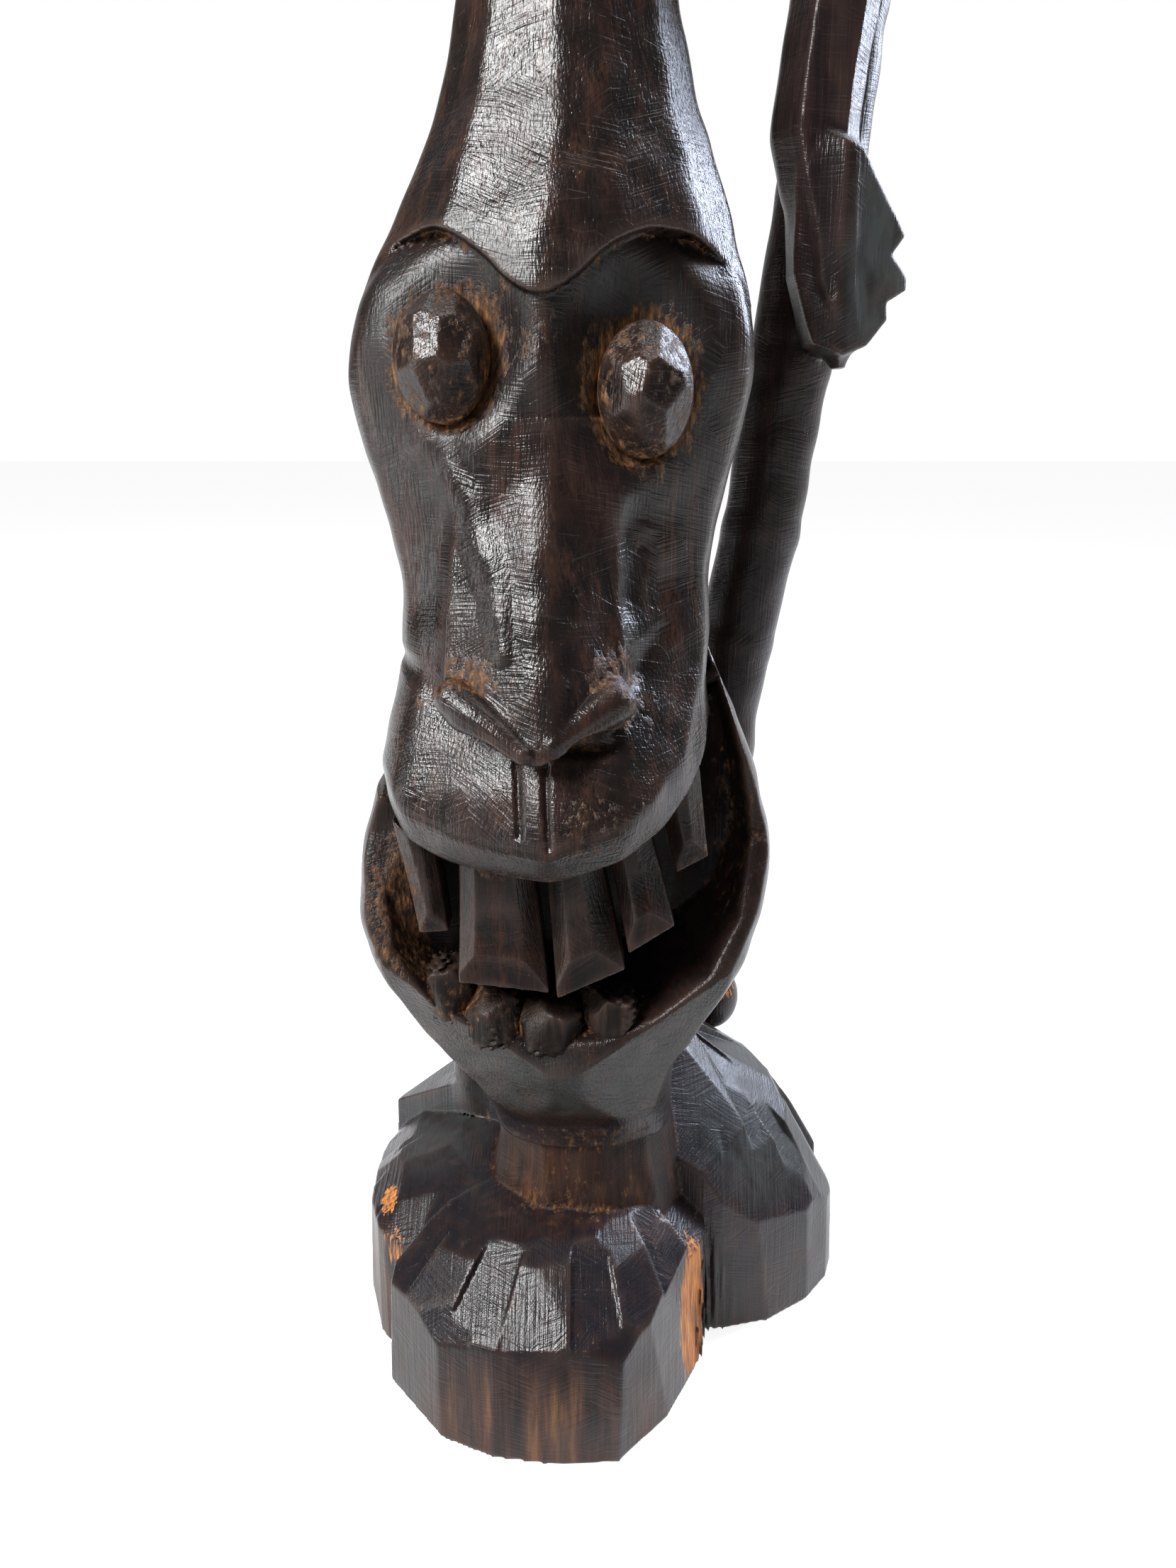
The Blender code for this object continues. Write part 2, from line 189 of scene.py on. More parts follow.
def half(point, normal):
    """All the space behind a flat."""
    n = np.array(normal, dtype=float)
    n /= np.linalg.norm(n)
    reach = float(n @ np.array(point, dtype=float))

    def shape(x, y, z):
        return n[0] * x + n[1] * y + n[2] * z - reach

    return shape


def facing(turn, lift):
    """The unit normal of a flat that faces a compass turn from the front, tilted up by lift degrees."""
    way, up = math.radians(turn), math.radians(lift)
    return np.array((math.sin(way) * math.cos(up), -math.cos(way) * math.cos(up), math.sin(up)))


def facets(flats, soft=0.0):
    """The space behind all of several flats."""
    shapes = [half(point, normal) for point, normal in flats]

    def shape(x, y, z):
        total = shapes[0](x, y, z)
        for flat in shapes[1:]:
            total = soft_max(total, flat(x, y, z), soft)
        return total

    return shape


def above(line, drop=0.0):
    """Signed distance above a line of (x, z) that runs straight back through the wood."""
    xs = np.array([p[0] for p in line], dtype=float)
    zs = np.array([p[1] for p in line], dtype=float)

    def shape(x, y, z):
        level = sum(np.interp(x + t, xs, zs) for t in (-3.0, -1.5, 0.0, 1.5, 3.0)) / 5.0
        slope = (np.interp(x + 2.0, xs, zs) - np.interp(x - 2.0, xs, zs)) / 4.0
        return (z - level - drop) / np.sqrt(1.0 + slope * slope)

    return shape


def outline(points, x, z):
    """Signed distance to a closed outline of (x, z), below zero inside."""
    best = np.full(np.broadcast(x, z).shape, 1e9)
    inside = np.zeros(best.shape, bool)
    for i, (x0, z0) in enumerate(points):
        x1, z1 = points[(i + 1) % len(points)]
        dx, dz = x1 - x0, z1 - z0
        t = np.clip(((x - x0) * dx + (z - z0) * dz) / (dx * dx + dz * dz), 0.0, 1.0)
        best = np.minimum(best, (x - x0 - t * dx) ** 2 + (z - z0 - t * dz) ** 2)
        crosses = (z0 > z) != (z1 > z)
        rise = dz if abs(dz) > 1e-9 else 1e-9
        inside ^= crosses & (x < (z - z0) * dx / rise + x0)
    return np.where(inside, -1.0, 1.0) * np.sqrt(best)


def stroke(points, widths, depth):
    """A tool stroke seen from the front: a polyline of (x, z) that sinks the surface by depth at its middle."""

    def shape(x, y, z):
        total = 0.0
        for i in range(len(points) - 1):
            (x0, z0), (x1, z1) = points[i], points[i + 1]
            dx, dz = x1 - x0, z1 - z0
            t = np.clip(((x - x0) * dx + (z - z0) * dz) / (dx * dx + dz * dz), 0.0, 1.0)
            far = np.sqrt((x - x0 - t * dx) ** 2 + (z - z0 - t * dz) ** 2)
            width = widths[i] + (widths[i + 1] - widths[i]) * t
            dip = np.clip(1.0 - (far / width) ** 2, 0.0, 1.0)
            total = np.maximum(total, dip * dip)
        return depth * total * np.clip((-18.0 - y) / 8.0, 0.0, 1.0)

    return shape


# ---- the log and everything carved from it
BROW = [
    (-90, 318), (-62, 322), (-54, 333), (-42, 337), (-33, 332), (-25, 324),
    (-17.5, 320), (-10, 323), (-2, 331), (8, 336), (19, 335), (29, 327),
    (38, 316), (60, 312),
]
SMILE = [
    (-90, 197), (-62, 194), (-55, 188), (-43, 184), (-28, 182), (-13, 182.5),
    (-1, 186.5), (12, 193), (21, 202), (26.5, 214), (28.5, 227), (60, 229.5),
]
MOUTH = [
    (31, 228), (24, 240), (-20, 240), (-56, 215), (-63, 190), (-63, 172),
    (-60, 153), (-48, 136.5), (-31.5, 130.5), (-15.5, 128.5), (-1, 130), (12, 134.5),
    (27.5, 146), (36, 161), (39, 182), (36.5, 203),
]
JAW_EDGE = [
    (28, 231), (35.5, 213), (45, 184), (44, 160), (36.5, 143.5), (20, 130),
    (2, 124.5), (-12.7, 121), (-31.5, 124), (-49, 127.5), (-63, 140), (-70.5, 158),
    (-70, 180), (-64, 198), (-50, 235),
]
JAW = [
    (84, -35.5, 20.5, -42, 12.5), (93, -38, 20.5, -46, 13), (103, -42, 20.5, -54, 15),
    (113, -48, 22, -61, 16), (122, -54, 26.5, -67, 17), (133, -61.5, 33, -69, 18),
    (145, -69, 40.5, -69, 18.5), (160, -72.5, 45, -68, 19), (178, -70.5, 46.5, -66, 19),
    (196, -65, 42.5, -62, 18.5), (214, -58, 35.5, -58, 18), (232, -52, 28, -56, 15),
]
MUZZLE = [
    (174, -62, 34, -76, 18), (184, -64.5, 38, -82.5, 18), (196, -64.5, 39, -82.5, 18),
    (207, -62.5, 36.5, -78, 18), (219, -59.5, 33, -71, 17.5), (230, -57, 29.5, -65, 17),
    (240, -56, 28, -61, 16), (252, -52, 23, -54, 13), (264, -48, 18, -46, 9),
]
FACE = [
    (222, -50, 23, -57, 12), (232, -54, 26, -60, 15), (240, -56, 27.2, -61, 16.2),
    (252, -56, 26.5, -58.5, 16),
    (268, -59.5, 28.5, -55.5, 16), (285, -65, 33, -55.5, 16.5), (300, -67.8, 36.8, -56, 17),
    (312, -66.8, 36.6, -56.5, 17), (322, -63.6, 35, -55, 15.5), (330, -58.6, 32, -50, 13),
    (345, -44, 20, -38, 10),
]
CRANIUM = [
    (308, -67.6, 37, -59, 17.5), (320, -64, 35.6, -59.5, 17), (330, -59.5, 33, -57.5, 16),
    (340, -54, 30, -54.5, 14.5), (355, -47, 25, -48.5, 12), (369, -42, 20.5, -43.5, 9.5),
    (384, -38.5, 17, -39.5, 7), (405, -35, 12.5, -37, 3.5), (430, -32, 8, -36, 0.5),
    (456, -30.3, 4.4, -35, -1.5), (478, -25, -1, -29, -7),
]
NECK = [
    (40, -38.5, 27, -45, 16), (60, -37, 25.5, -43.5, 14.5), (70, -34.5, 22, -41.5, 12),
    (84, -34.5, 20.5, -41, 12), (96, -36, 20, -42, 12.5),
]

log = Block(LOW, HIGH, PITCH)


def join(block, soft):
    """Bring a smaller block on the log's own lattice into the log."""
    shift = [int(round((block.low[i] - log.low[i]) / PITCH)) for i in range(3)]
    size = [min(block.field.shape[i], log.field.shape[i] - shift[i]) for i in range(3)]
    where = tuple(slice(shift[i], shift[i] + size[i]) for i in range(3))
    inner = tuple(slice(0, size[i]) for i in range(3))
    log.field[where] = soft_min(log.field[where], block.field[inner], soft)


def snapped(low, high):
    """A block on the log's own lattice."""
    start = LOW + PITCH * np.floor((np.maximum(low, LOW) - LOW) / PITCH)
    return Block(start, high, PITCH)


MOUND_TOP = 61
BASE_TOP = 92
POLE_RADIUS = 12.3
LEG_RADIUS = 8.6

# Face below the brow, with an eye socket on each side of the bridge of the nose
log.add(section(FACE, 2.5, [(-38, 0.97), (40, 0.97)], (222, 342)), (-76, -76, 220), (46, 26, 345))
log.even_out()
log.carve(egg((-41.5, -66.5, 318), (24, 25, 34)), (-74, -90, 278), (-12, -36, 356), 6)
log.carve(egg((9, -66.5, 312), (25, 25, 37)), (-20, -90, 268), (44, -36, 352), 6)
log.carve(egg((-41, -53.5, 307.5), (14.2, 14.5, 18.4)), (-62, -74, 282), (-20, -34, 332), 1.2)
log.carve(egg((7.5, -53.5, 299.5), (14, 14.5, 19)), (-12, -74, 274), (28, -34, 326), 1.2)

# Cranium: a tall tapering block with long flat planes, ending in a heavy M-shaped brow that overhangs the sockets
CRANIUM_PLANES = [(-22, 0.89), (5, 0.925), (33, 0.905), (56, 0.95), (-54, 0.94), (150, 0.95), (-150, 0.95)]
skull = snapped((-80, -74, 298), (50, 30, 480))
skull.add(section(CRANIUM, 2.3, CRANIUM_PLANES, (300, 476)))
skull.even_out()
skull.trim(lambda x, y, z: -above(BROW)(x, y, z), soft=0.5)
join(skull, 0.4)

# Muzzle with its rounded lower lip edge
muzzle = snapped((-78, -90, 156), (48, 26, 268))
muzzle.add(section(MUZZLE, 2.25, [(-26, 0.925), (38, 0.965), (4, 0.985)], (160, 264)))
muzzle.even_out()
_, x, y, z = muzzle.part()
lip = -above(SMILE)(x, y, z) - 0.8 * np.maximum(y + 16, 0)
tucked = 0.88 * muzzle.field + 0.475 * lip + 4.6
muzzle.field = soft_max(muzzle.field, lip, 0.8)
muzzle.field = soft_max(muzzle.field, tucked, 0.8).astype(np.float32)
join(muzzle, 3.5)

# Nose: a low wedge with a sharp keel, an overhanging lower edge and two wings
TIP = (-18.5, -82, 214)


def through(a, b, c, outward):
    """A flat through three points, as a point on it and its outward normal."""
    a, b, c = (np.array(p, dtype=float) for p in (a, b, c))
    normal = np.cross(b - a, c - a)
    if normal @ np.array(outward) < 0:
        normal = -normal
    return (a, normal)


nose_flats = [
    through((-19.5, -55.5, 288), TIP, (-43, -65, 229), (-1, -1, 0)),
    through((-12.5, -56, 284), (-13, -79, 222), (6, -64.5, 229), (1, -1, 0)),
    through((-19.5, -55.5, 288), TIP, (-12.5, -79.5, 222), (0, -1, 0.3)),
    through(TIP, (-41.5, -66.5, 225.5), (-18.5, -60, 217), (-0.2, 0, -1)),
    through(TIP, (4, -66.5, 225.5), (-18.5, -60, 217), (0.2, 0, -1)),
    ((-42, -66, 226), (-1, -0.1, 0.1)),
    ((4, -66, 226), (1, -0.1, 0.1)),
]
nose = facets(nose_flats, 0.8)
log.add(nose, (-46, -90, 210), (8, -40, 292), 4.5)
log.add(rod((-38.5, -67.5, 227.5), (-21.5, -79.5, 217.2), 5.8, 2.8), (-50, -90, 208), (-12, -55, 240), 0.6)
log.add(rod((0.5, -68, 227.5), (-14.5, -77.8, 219), 5.8, 3), (-22, -90, 208), (14, -55, 240), 0.6)
log.carve(rod((-36, -71.5, 237), (-24.5, -82, 227), 4.2, 1.6), (-52, -94, 212), (-12, -55, 248), 0.8)
log.carve(rod((1, -71, 237.5), (-8.5, -78, 232.5), 4.2, 2.2), (-18, -94, 212), (14, -55, 248), 0.8)
log.carve(rod((-10, -75, 232), (-10.5, -78, 225.5), 1.6, 0.8), (-16, -90, 214), (0, -55, 242), 0.8)
log.carve(egg((-31, -73, 217.5), (11, 5, 3.4)), (-48, -90, 208), (-14, -55, 228), 1.4)
log.carve(egg((-6, -73.5, 217.5), (10, 5, 3.2)), (-22, -90, 208), (10, -55, 228), 1.4)

# Groove lines and soft planes seen from the front
strokes = [
    ([(-23.4, 213), (-22.6, 196)], (1.1, 1), 1.3),
    ([(-16.4, 213), (-15.6, 194)], (1.1, 1), 1.5),
    ([(-46, 286), (-36, 273), (-29, 256), (-27, 240)], (7, 7, 6, 4), -1.1),
    ([(6, 270), (2, 258), (-1, 240)], (6, 8, 6), 0.7),
    ([(8, 262), (14, 244), (6, 232)], (5, 6, 4), 0.6),
    ([(3, 231), (8, 236), (13, 241)], (5, 5, 4), 0.5),
    ([(-42, 224), (-50, 230), (-55, 232)], (4, 5, 4), 0.9),
]
for points, widths, depth in strokes:
    xs, zs = zip(*points)
    log.press(stroke(points, widths, depth), (min(xs) - 10, -90, min(zs) - 10), (max(xs) + 10, 0, max(zs) + 10))

# Jaw: a deep bowl with a flat rim
jaw = snapped((-80, -76, 82), (52, 26, 236))
jaw.add(section(JAW, 2.7, [], (82, 232)))
jaw.even_out()
_, x, y, z = jaw.part()
rim_level = -40 + np.where(z < 184, 0.387 * (z - 184), 0.09 * (z - 184))
lean = np.maximum(y - rim_level, 0)
jaw.field = soft_max(jaw.field, (rim_level - y) * 0.93, 0.9)
edge = outline(JAW_EDGE, x[:, 0, :], z[0, 0, :][None, :])[:, None, :].astype(np.float32)
jaw.field = soft_max(jaw.field, (edge - 1.2 * lean) * 0.64, 0.7)
chin_flats = [
    through((-13, -66, 121), (-52, -48, 128), (-24, -44.5, 92), (-0.3, -1, -0.6)),
    through((-13, -66, 121), (22, -52, 130), (4, -44.5, 92), (0.3, -1, -0.6)),
]
jaw.field = soft_max(jaw.field, facets(chin_flats)(x, y, z) - 0.3, 0.4)
mouth = outline(MOUTH, x[:, 0, :], z[0, 0, :][None, :])[:, None, :].astype(np.float32)
depth = np.interp(x, (-66, -58, -46, -30, 20, 36), (-48, -43, -36, -24, -22, -30))
slant = 0.30 * np.clip(y - rim_level, 0, 60)
hollow = np.maximum(mouth + slant, (y - depth) * 0.9)
jaw.field = soft_max(jaw.field, -hollow, 1.2)
jaw.field = soft_max(jaw.field, above(SMILE)(x, y, z) - 0.8 * np.maximum(y + 16, 0), 0.8).astype(np.float32)
join(jaw, 0.6)

# Neck
NECK_PLANES = [(-8, 0.96), (25, 0.965), (-45, 0.97), (60, 0.97)]
log.add(section(NECK, 2.5, NECK_PLANES, (30, BASE_TOP)), (-46, -54, 28), (36, 24, 96), 0.8)

# Base: a chiselled mound in four lobes, each bounded by flat cuts
FOOT = [
    (-35, -77), (-15, -80), (4.6, -78), (14, -68), (20.7, -56), (27, -41),
    (33, -27), (48, -25), (62, -18), (73, -9), (80.5, 3), (81.5, 22),
    (76, 44), (62, 63), (40, 76), (12, 82), (-18, 82), (-46, 73),
    (-66, 55), (-78, 32), (-81.5, 8), (-79.5, -15), (-72.5, -31), (-68, -50),
    (-54, -66),
]


def mound_points(first, last, profile):
    """Points on the unfaceted mound over part of the outline: profile is rows of (share of the way out, height)."""
    count = len(FOOT)
    points = []
    for i in range(first, last + 1):
        x, y = FOOT[i % count]
        rear = min(max((y + 30) / 90, 0), 1)
        aside = min(max((x + 60) / 110, 0), 1)
        for shrink, height in profile:
            lift = 29 * rear * aside * min(max((height - 38) / 23, 0), 1)
            points.append((-7 + (x + 7) * shrink, -8 + (y + 8) * shrink, height + lift))
    return np.array(points)


def cut_plane(points, turn, lift, depth):
    """A flat cut that touches a set of points from outside and then goes deeper: compass turn, tilt up, depth."""
    normal = facing(turn, lift)
    return (normal * ((points @ normal).max() - depth), normal)


def lobe(points, inner, rows):
    """A mound bounded by flat cuts: rows of (tilt up, compass turns from the front)."""
    flats = [((0, 0, 0), (0, 0, -1))]
    flats += [cut_plane(points, turn, 0, 0) for turn in inner]
    for lift, turns in rows:
        loose = 0.5 if lift < 10 else 1.2
        flats += [cut_plane(points, turn, lift + CHISEL.uniform(-2, 2), CHISEL.uniform(0, loose)) for turn in turns]
    return facets(flats)


def sector(flat, centre, start, end):
    """The wood outside one flat cut, between two compass turns seen from a centre."""
    outside = half(*flat)
    a, b = math.radians(start), math.radians(end)

    def shape(x, y, z):
        px, py = x - centre[0], y - centre[1]
        sides = np.maximum(-(px * math.cos(a) + py * math.sin(a)), px * math.cos(b) + py * math.sin(b))
        return np.maximum(sides, -outside(x, y, z))

    return shape


def base_lobe(first, last, profile, inner, rows, centre, strikes):
    """One lobe of the base: rough flat sides, then single chisel strikes of (start, end, tilt up, depth)."""
    points = mound_points(first, last, [(1, 0), *profile, (0.4, MOUND_TOP), (0.04, MOUND_TOP)])
    block = snapped((-86, -88, -4), (88, 88, 100))
    block.add(lobe(points, inner, rows))
    for start, end, lift, depth in strikes:
        flat = cut_plane(points, (start + end) / 2 + CHISEL.uniform(-4, 4), lift, depth)
        block.carve(sector(flat, centre, start, end), soft=0.25)
    join(block, 0.8)


base_lobe(
    15, 19, [(0.985, 42), (0.9, 56), (0.7, 60)], (0, 35, -35),
    [(2, (150, 172, 188, 208, 226, 246)), (40, (140, 162, 185, 210, 232)), (60, (150, 200, 100, 250)),
     (78, (20, 180, 270))],
    (-15, 30),
    [(140, 168, 44, 0.8), (168, 190, 38, 1.5), (190, 214, 46, 0.8), (214, 240, 40, 1.4), (150, 200, 66, 0.8)],
)
base_lobe(
    18, 22, [(0.985, 38), (0.9, 47), (0.7, 56)], (90, 50, 130),
    [(2, (-38, -56, -72, -88, -106, -126, -146)), (46, (-56, -78, -100, -124)), (66, (-66, -96, -130)),
     (80, (-80, -140, -20))],
    (-40, 15),
    [(-44, -20, 48, 1.2), (-62, -44, 44, 1.8), (-80, -62, 40, 0.9), (-100, -80, 46, 1.6), (-125, -100, 40, 0.8),
     (-150, -125, 45, 1.4), (-70, -30, 68, 1.2), (-110, -70, 62, 0.8)],
)
base_lobe(
    6, 15, [(0.985, 22), (0.93, 36), (0.84, 48), (0.62, 58)], (-90, -60, -125),
    [(2, (-10, 14, 34, 52, 70, 92, 116, 140, 160)), (30, (40, 66, 92, 120, 148)), (50, (0, 30, 66, 112)),
     (74, (20, 60, 160))],
    (30, 22),
    [(-14, 12, 50, 0.8), (12, 30, 46, 2), (30, 47, 50, 0.9), (47, 62, 40, 1.8), (62, 80, 30, 0.9), (80, 102, 26, 1.8),
     (102, 130, 34, 0.9), (130, 165, 44, 1.5), (0, 36, 62, 1.4), (36, 70, 58, 0.8), (70, 120, 56, 1.6)],
)
base_lobe(
    23, 31, [(0.985, 38), (0.86, 48), (0.66, 57.5)], (180, 150, -150),
    [(2, (-72, -50, -24, -8, 4, 22, 46, 62, 80, 100, -95)), (50, (-74, -38, 0, 36, 76)), (80, (-40, 0, 50))],
    (-10, -12),
    [(-92, -68, 46, 0.8), (-68, -50, 50, 2), (-50, -34, 45, 0.9), (-34, -19, 51, 2.2), (-19, -1, 46, 1.2),
     (-1, 13, 52, 2.3), (13, 29, 46, 1), (29, 48, 51, 2), (48, 76, 46, 0.9), (-45, -27, 33, 1.5), (4, 22, 33, 1.6),
     (-60, -24, 66, 1.4), (-24, 10, 70, 0.7), (10, 44, 64, 1.6), (44, 80, 68, 0.9)],
)

# Split sapwood in the notch between the front and right lobes
log.press(
    lambda x, y, z: (0.5 + 0.7 * np.sin(2.3 * x + 1.1 * y + 0.08 * z) + 0.4 * np.sin(4.1 * x - 1.7 * y + 0.15 * z))
    * np.clip(1.3 - ((x - 32) / 10) ** 2 - ((y + 33) / 12) ** 2 - ((z - 14) / 26) ** 2, 0, 1),
    (18, -50, -4), (48, -15, 45),
)

# Second figure: bent body, legs, foot and the small head in profile
POLE = [
    (36, 35, 184), (42, 35, 222), (49, 35, 258), (55.6, 35, 308), (62.5, 35, 363), (66, 35, 404), (66.5, 35, 430),
    (65, 33, 456), (61.5, 29, 472), (56, 24, 488),
]
LEFT_LEG = [(-43, 17, 52), (-44, 16, 75), (-45, 17, 97), (-37, 26, 125), (-15, 32, 152), (8, 34, 174)]
RIGHT_LEG = [(38, 46, 88), (37, 43, 110), (34, 40, 135), (31, 37, 160), (28, 36, 176)]
left_leg = path(LEFT_LEG, [LEG_RADIUS] * len(LEFT_LEG))
right_leg = path(RIGHT_LEG, [LEG_RADIUS] * len(RIGHT_LEG))
right_foot = egg((39.5, 48, 86), (10.5, 12, 12.5))
log.add(path(POLE, [POLE_RADIUS] * 7 + [12, 9.5, 5]), (20, 12, 170), (84, 52, 500), 1)
log.add(egg((26, 35, 184), (21, 15, 18)), (-2, 12, 158), (54, 58, 210), 8)
log.add(left_leg, (-60, 4, 44), (24, 50, 190), 3)
log.add(right_leg, (14, 22, 74), (56, 62, 190), 3)
log.add(right_foot, (24, 30, 68), (56, 66, 104), 1)

SMALL = [
    (306, 64.5, 67.5, 8, 16), (309, 63, 68.5, 4, 21), (313, 61.5, 69, 1.5, 24), (320, 58.5, 69.5, -1, 25),
    (327, 54, 69.5, -2, 25), (340, 51, 69.5, -3, 24), (352, 46.8, 69.5, -3, 23.5),
    (365, 43.6, 67.6, -2, 23), (380, 45.2, 68.6, -1.5, 22.5), (398, 47.2, 71.2, -1, 22.5),
    (425, 48.5, 72.5, -3, 22), (448, 47.5, 73, -5, 22), (470, 51, 69, 6, 26),
    (486, 55, 65, 16, 32),
]
small_head = section(SMALL, 2.8, [(4, 0.90), (60, 0.90), (-62, 0.90), (85, 0.97)], (306, 484), 3)
log.add(small_head, (38, -12, 300), (86, 40, 488), 1)

PROFILE = [
    (50, 366), (66.3, 360.8), (81.6, 340.4), (78, 335.4), (82.4, 329.6), (82.5, 326.6), (76.6, 323.2),
    (77.4, 318.6), (71.4, 311.7), (64.5, 308.6), (56, 312), (50, 330),
]


def small_profile(x, y, z):
    """The face in profile: an outline that thins to a blunt edge towards its front."""
    flat = outline(PROFILE, x[:, 0, :], z[0, 0, :][None, :])[:, None, :].astype(np.float32)
    side = (np.abs(y - 9.5) - np.clip(12.8 - np.where(x > 62, 0.52, -0.45) * (x - 62), 1.5, 12.8)) * 0.89
    return soft_max(flat, side, 1)


log.add(small_profile, (50, -16, 302), (88, 34, 372), 3.5)

# Crest: the arch that ties both heads together
arch = [(-13, -17, 440)]
for turn in np.linspace(0, math.pi, 13):
    arch.append((23.5 - 36.5 * math.cos(turn), 3.5 - 20.5 * math.cos(turn), 458 + 48 * math.sin(turn)))
arch.append((60, 24, 440))
log.add(path(arch, [16.6] * 2 + [17.3] * 11 + [18] * 2), (-36, -42, 420), (84, 50, 528), 7)

# The hand-worked surface is nowhere quite flat: swells by their length and height, weaker on the chiselled base
swell = np.zeros(log.field.shape, np.float32)
for length, amount in ((31, 0.22), (23, 0.20), (17, 0.16), (12, 0.11), (9, 0.08)):
    way = CHISEL.normal(size=3)
    way *= (2 * math.pi / length) / np.linalg.norm(way)
    _, x, y, z = log.part()
    swell += amount * np.sin(way[0] * x + way[1] * y + way[2] * z + CHISEL.uniform(0, 6)).astype(np.float32)
log.field += swell * np.clip((z - BASE_TOP) / 10, 0.12, 0.6).astype(np.float32)
del swell


# ---- small carvings with their own lattices
FINE = PITCH * 0.6
blocks = {}


def lump(centre, radii):
    """A block with room for an egg-sized carving."""
    return Block([c - r - 3 for c, r in zip(centre, radii)], [c + r + 3 for c, r in zip(centre, radii)], FINE)


def pare(block, centre, radii, turn, lift, depth, soft):
    """Take a flat cut off an egg, down to a depth below its surface."""
    normal = facing(turn, lift)
    reach = np.sqrt(((normal * np.array(radii)) ** 2).sum()) - depth
    block.trim(half(np.array(centre) + normal * reach, normal), soft=soft)


def carved_eye(name, centre, radii, cuts):
    """An egg-shaped eyeball with flat cuts: rows of (turn, lift, depth)."""
    block = blocks[name] = lump(centre, radii)
    block.add(egg(centre, radii))
    for turn, lift, depth in cuts:
        pare(block, centre, radii, turn, lift, depth, 0.35)


carved_eye(
    "eye_left", (-41, -47.5, 307), (11.6, 13, 15.4),
    [(-14, 24, 2), (24, 20, 1.8), (-52, 14, 1.5), (6, 54, 2.2), (52, 38, 1.4), (-50, 50, 1.4), (-6, -22, 1.3),
     (34, -26, 1.5), (-44, -28, 1.3), (68, -2, 1.1), (6, -56, 1.4)],
)
carved_eye(
    "eye_right", (7.8, -47.5, 299.5), (11.6, 13, 16),
    [(-36, 40, 1.9), (4, 46, 2), (44, 34, 1.7), (-20, 14, 1), (26, 6, 1.4), (-54, 4, 1.2), (10, -28, 1.1),
     (52, -18, 1.2),
     (-32, -36, 1.3), (4, -60, 1.4)],
)


def carved_tooth(name, top, bottom, top_width, bottom_width, front, thick, side_cut, tip_cut, slant):
    """A slab tooth between two points of (x, z), flaring forwards, with planed sides and a bevelled end."""
    along = np.array((bottom[0] - top[0], bottom[1] - top[1]), dtype=float)
    length = float(np.linalg.norm(along))
    along /= length
    across = np.array((-along[1], along[0]))
    half_width = max(top_width, bottom_width) / 2 + 4
    low = (min(top[0], bottom[0]) - half_width, min(front) - 6, min(top[1], bottom[1]) - 8)
    high = (max(top[0], bottom[0]) + half_width, max(front) + thick + 6, max(top[1], bottom[1]) + 12)
    block = blocks[name] = Block(low, high, FINE)

    def shape(x, y, z):
        t = (x - top[0]) * along[0] + (z - top[1]) * along[1]
        s = (x - top[0]) * across[0] + (z - top[1]) * across[1]
        share = np.clip(t / length, 0, 1.2)
        width = (top_width + (bottom_width - top_width) * share) / 2
        face = front[0] + (front[1] - front[0]) * share ** 2.6
        side = np.abs(s) - width
        flat = face - y
        tip = (t - slant * s - length) / math.sqrt(1 + slant * slant)
        total = np.maximum(np.maximum(side, y - face - thick), np.maximum(tip, -t - 8))
        total = soft_max(total, flat, 0.3)
        left = 0.7071 * (-s - width + flat) + side_cut[0]
        right = 0.7071 * (s - width + flat) + side_cut[1]
        end = 0.56 * tip + 0.83 * flat + tip_cut
        crown = 0.26 * s * math.copysign(1, side_cut[1] - side_cut[0]) + 0.966 * flat - 0.1 * width
        return soft_max(soft_max(soft_max(soft_max(total, left, 0.3), right, 0.3), end, 0.3), crown, 0.4)

    block.add(shape)
    block.trim(above(SMILE, 1))


carved_tooth("upper_tooth_far_left", (-52, 185), (-47.5, 160.5), 9.5, 8, (-57, -61), 14, (2.8, 2.2), 3.6, 0.1)
carved_tooth("upper_tooth_left", (-30.5, 184), (-28.5, 148.5), 19, 24, (-63.5, -72), 16, (3.2, 4), 5.2, 0.14)
carved_tooth("upper_tooth_middle", (-10.5, 186), (-5, 149.5), 14, 19, (-63.5, -71.5), 16, (3, 4.4), 5, -0.24)
carved_tooth("upper_tooth_right", (3.5, 193), (11, 161), 11.5, 13.5, (-60, -67.5), 15, (2.6, 3.6), 4.2, -0.3)
carved_tooth("upper_tooth_far_right", (17, 206), (22, 178.5), 13, 9, (-53, -57.5), 15, (2.8, 3), 4, -0.3)


def carved_stump(name, centre, radii):
    """A worn, broken-looking lower tooth: a rounded lump with chipped corners and cracks."""
    block = blocks[name] = lump(centre, radii)

    def shape(x, y, z):
        u, v, w = (x - centre[0]) / radii[0], (y - centre[1]) / radii[1], (z - centre[2]) / radii[2]
        chips = 0.45 * np.sin(x * 1.7 + z * 0.6) * np.sin(z * 2.1 + y) + 0.3 * np.sin(x * 0.9 - z * 3.1)
        return ((u ** 4 + v ** 4 + w ** 4) ** 0.25 - 1) * min(radii) + chips

    block.add(shape)
    for _ in range(7):
        turn, lift, depth = CHISEL.uniform(-70, 70), CHISEL.uniform(-35, 70), CHISEL.uniform(0.2, 1.6)
        pare(block, centre, radii, turn, lift, depth, 0.8)
    for _ in range(3):
        side = centre[0] + CHISEL.uniform(-0.7, 0.7) * radii[0]
        foot = (side, centre[1] - radii[1] - 0.5, centre[2] - radii[2])
        head = (side + CHISEL.uniform(-3, 3), centre[1] - radii[1] + 1, centre[2] + radii[2] + 1)
        block.carve(rod(foot, head, 0.5, 1.1), soft=0.5)


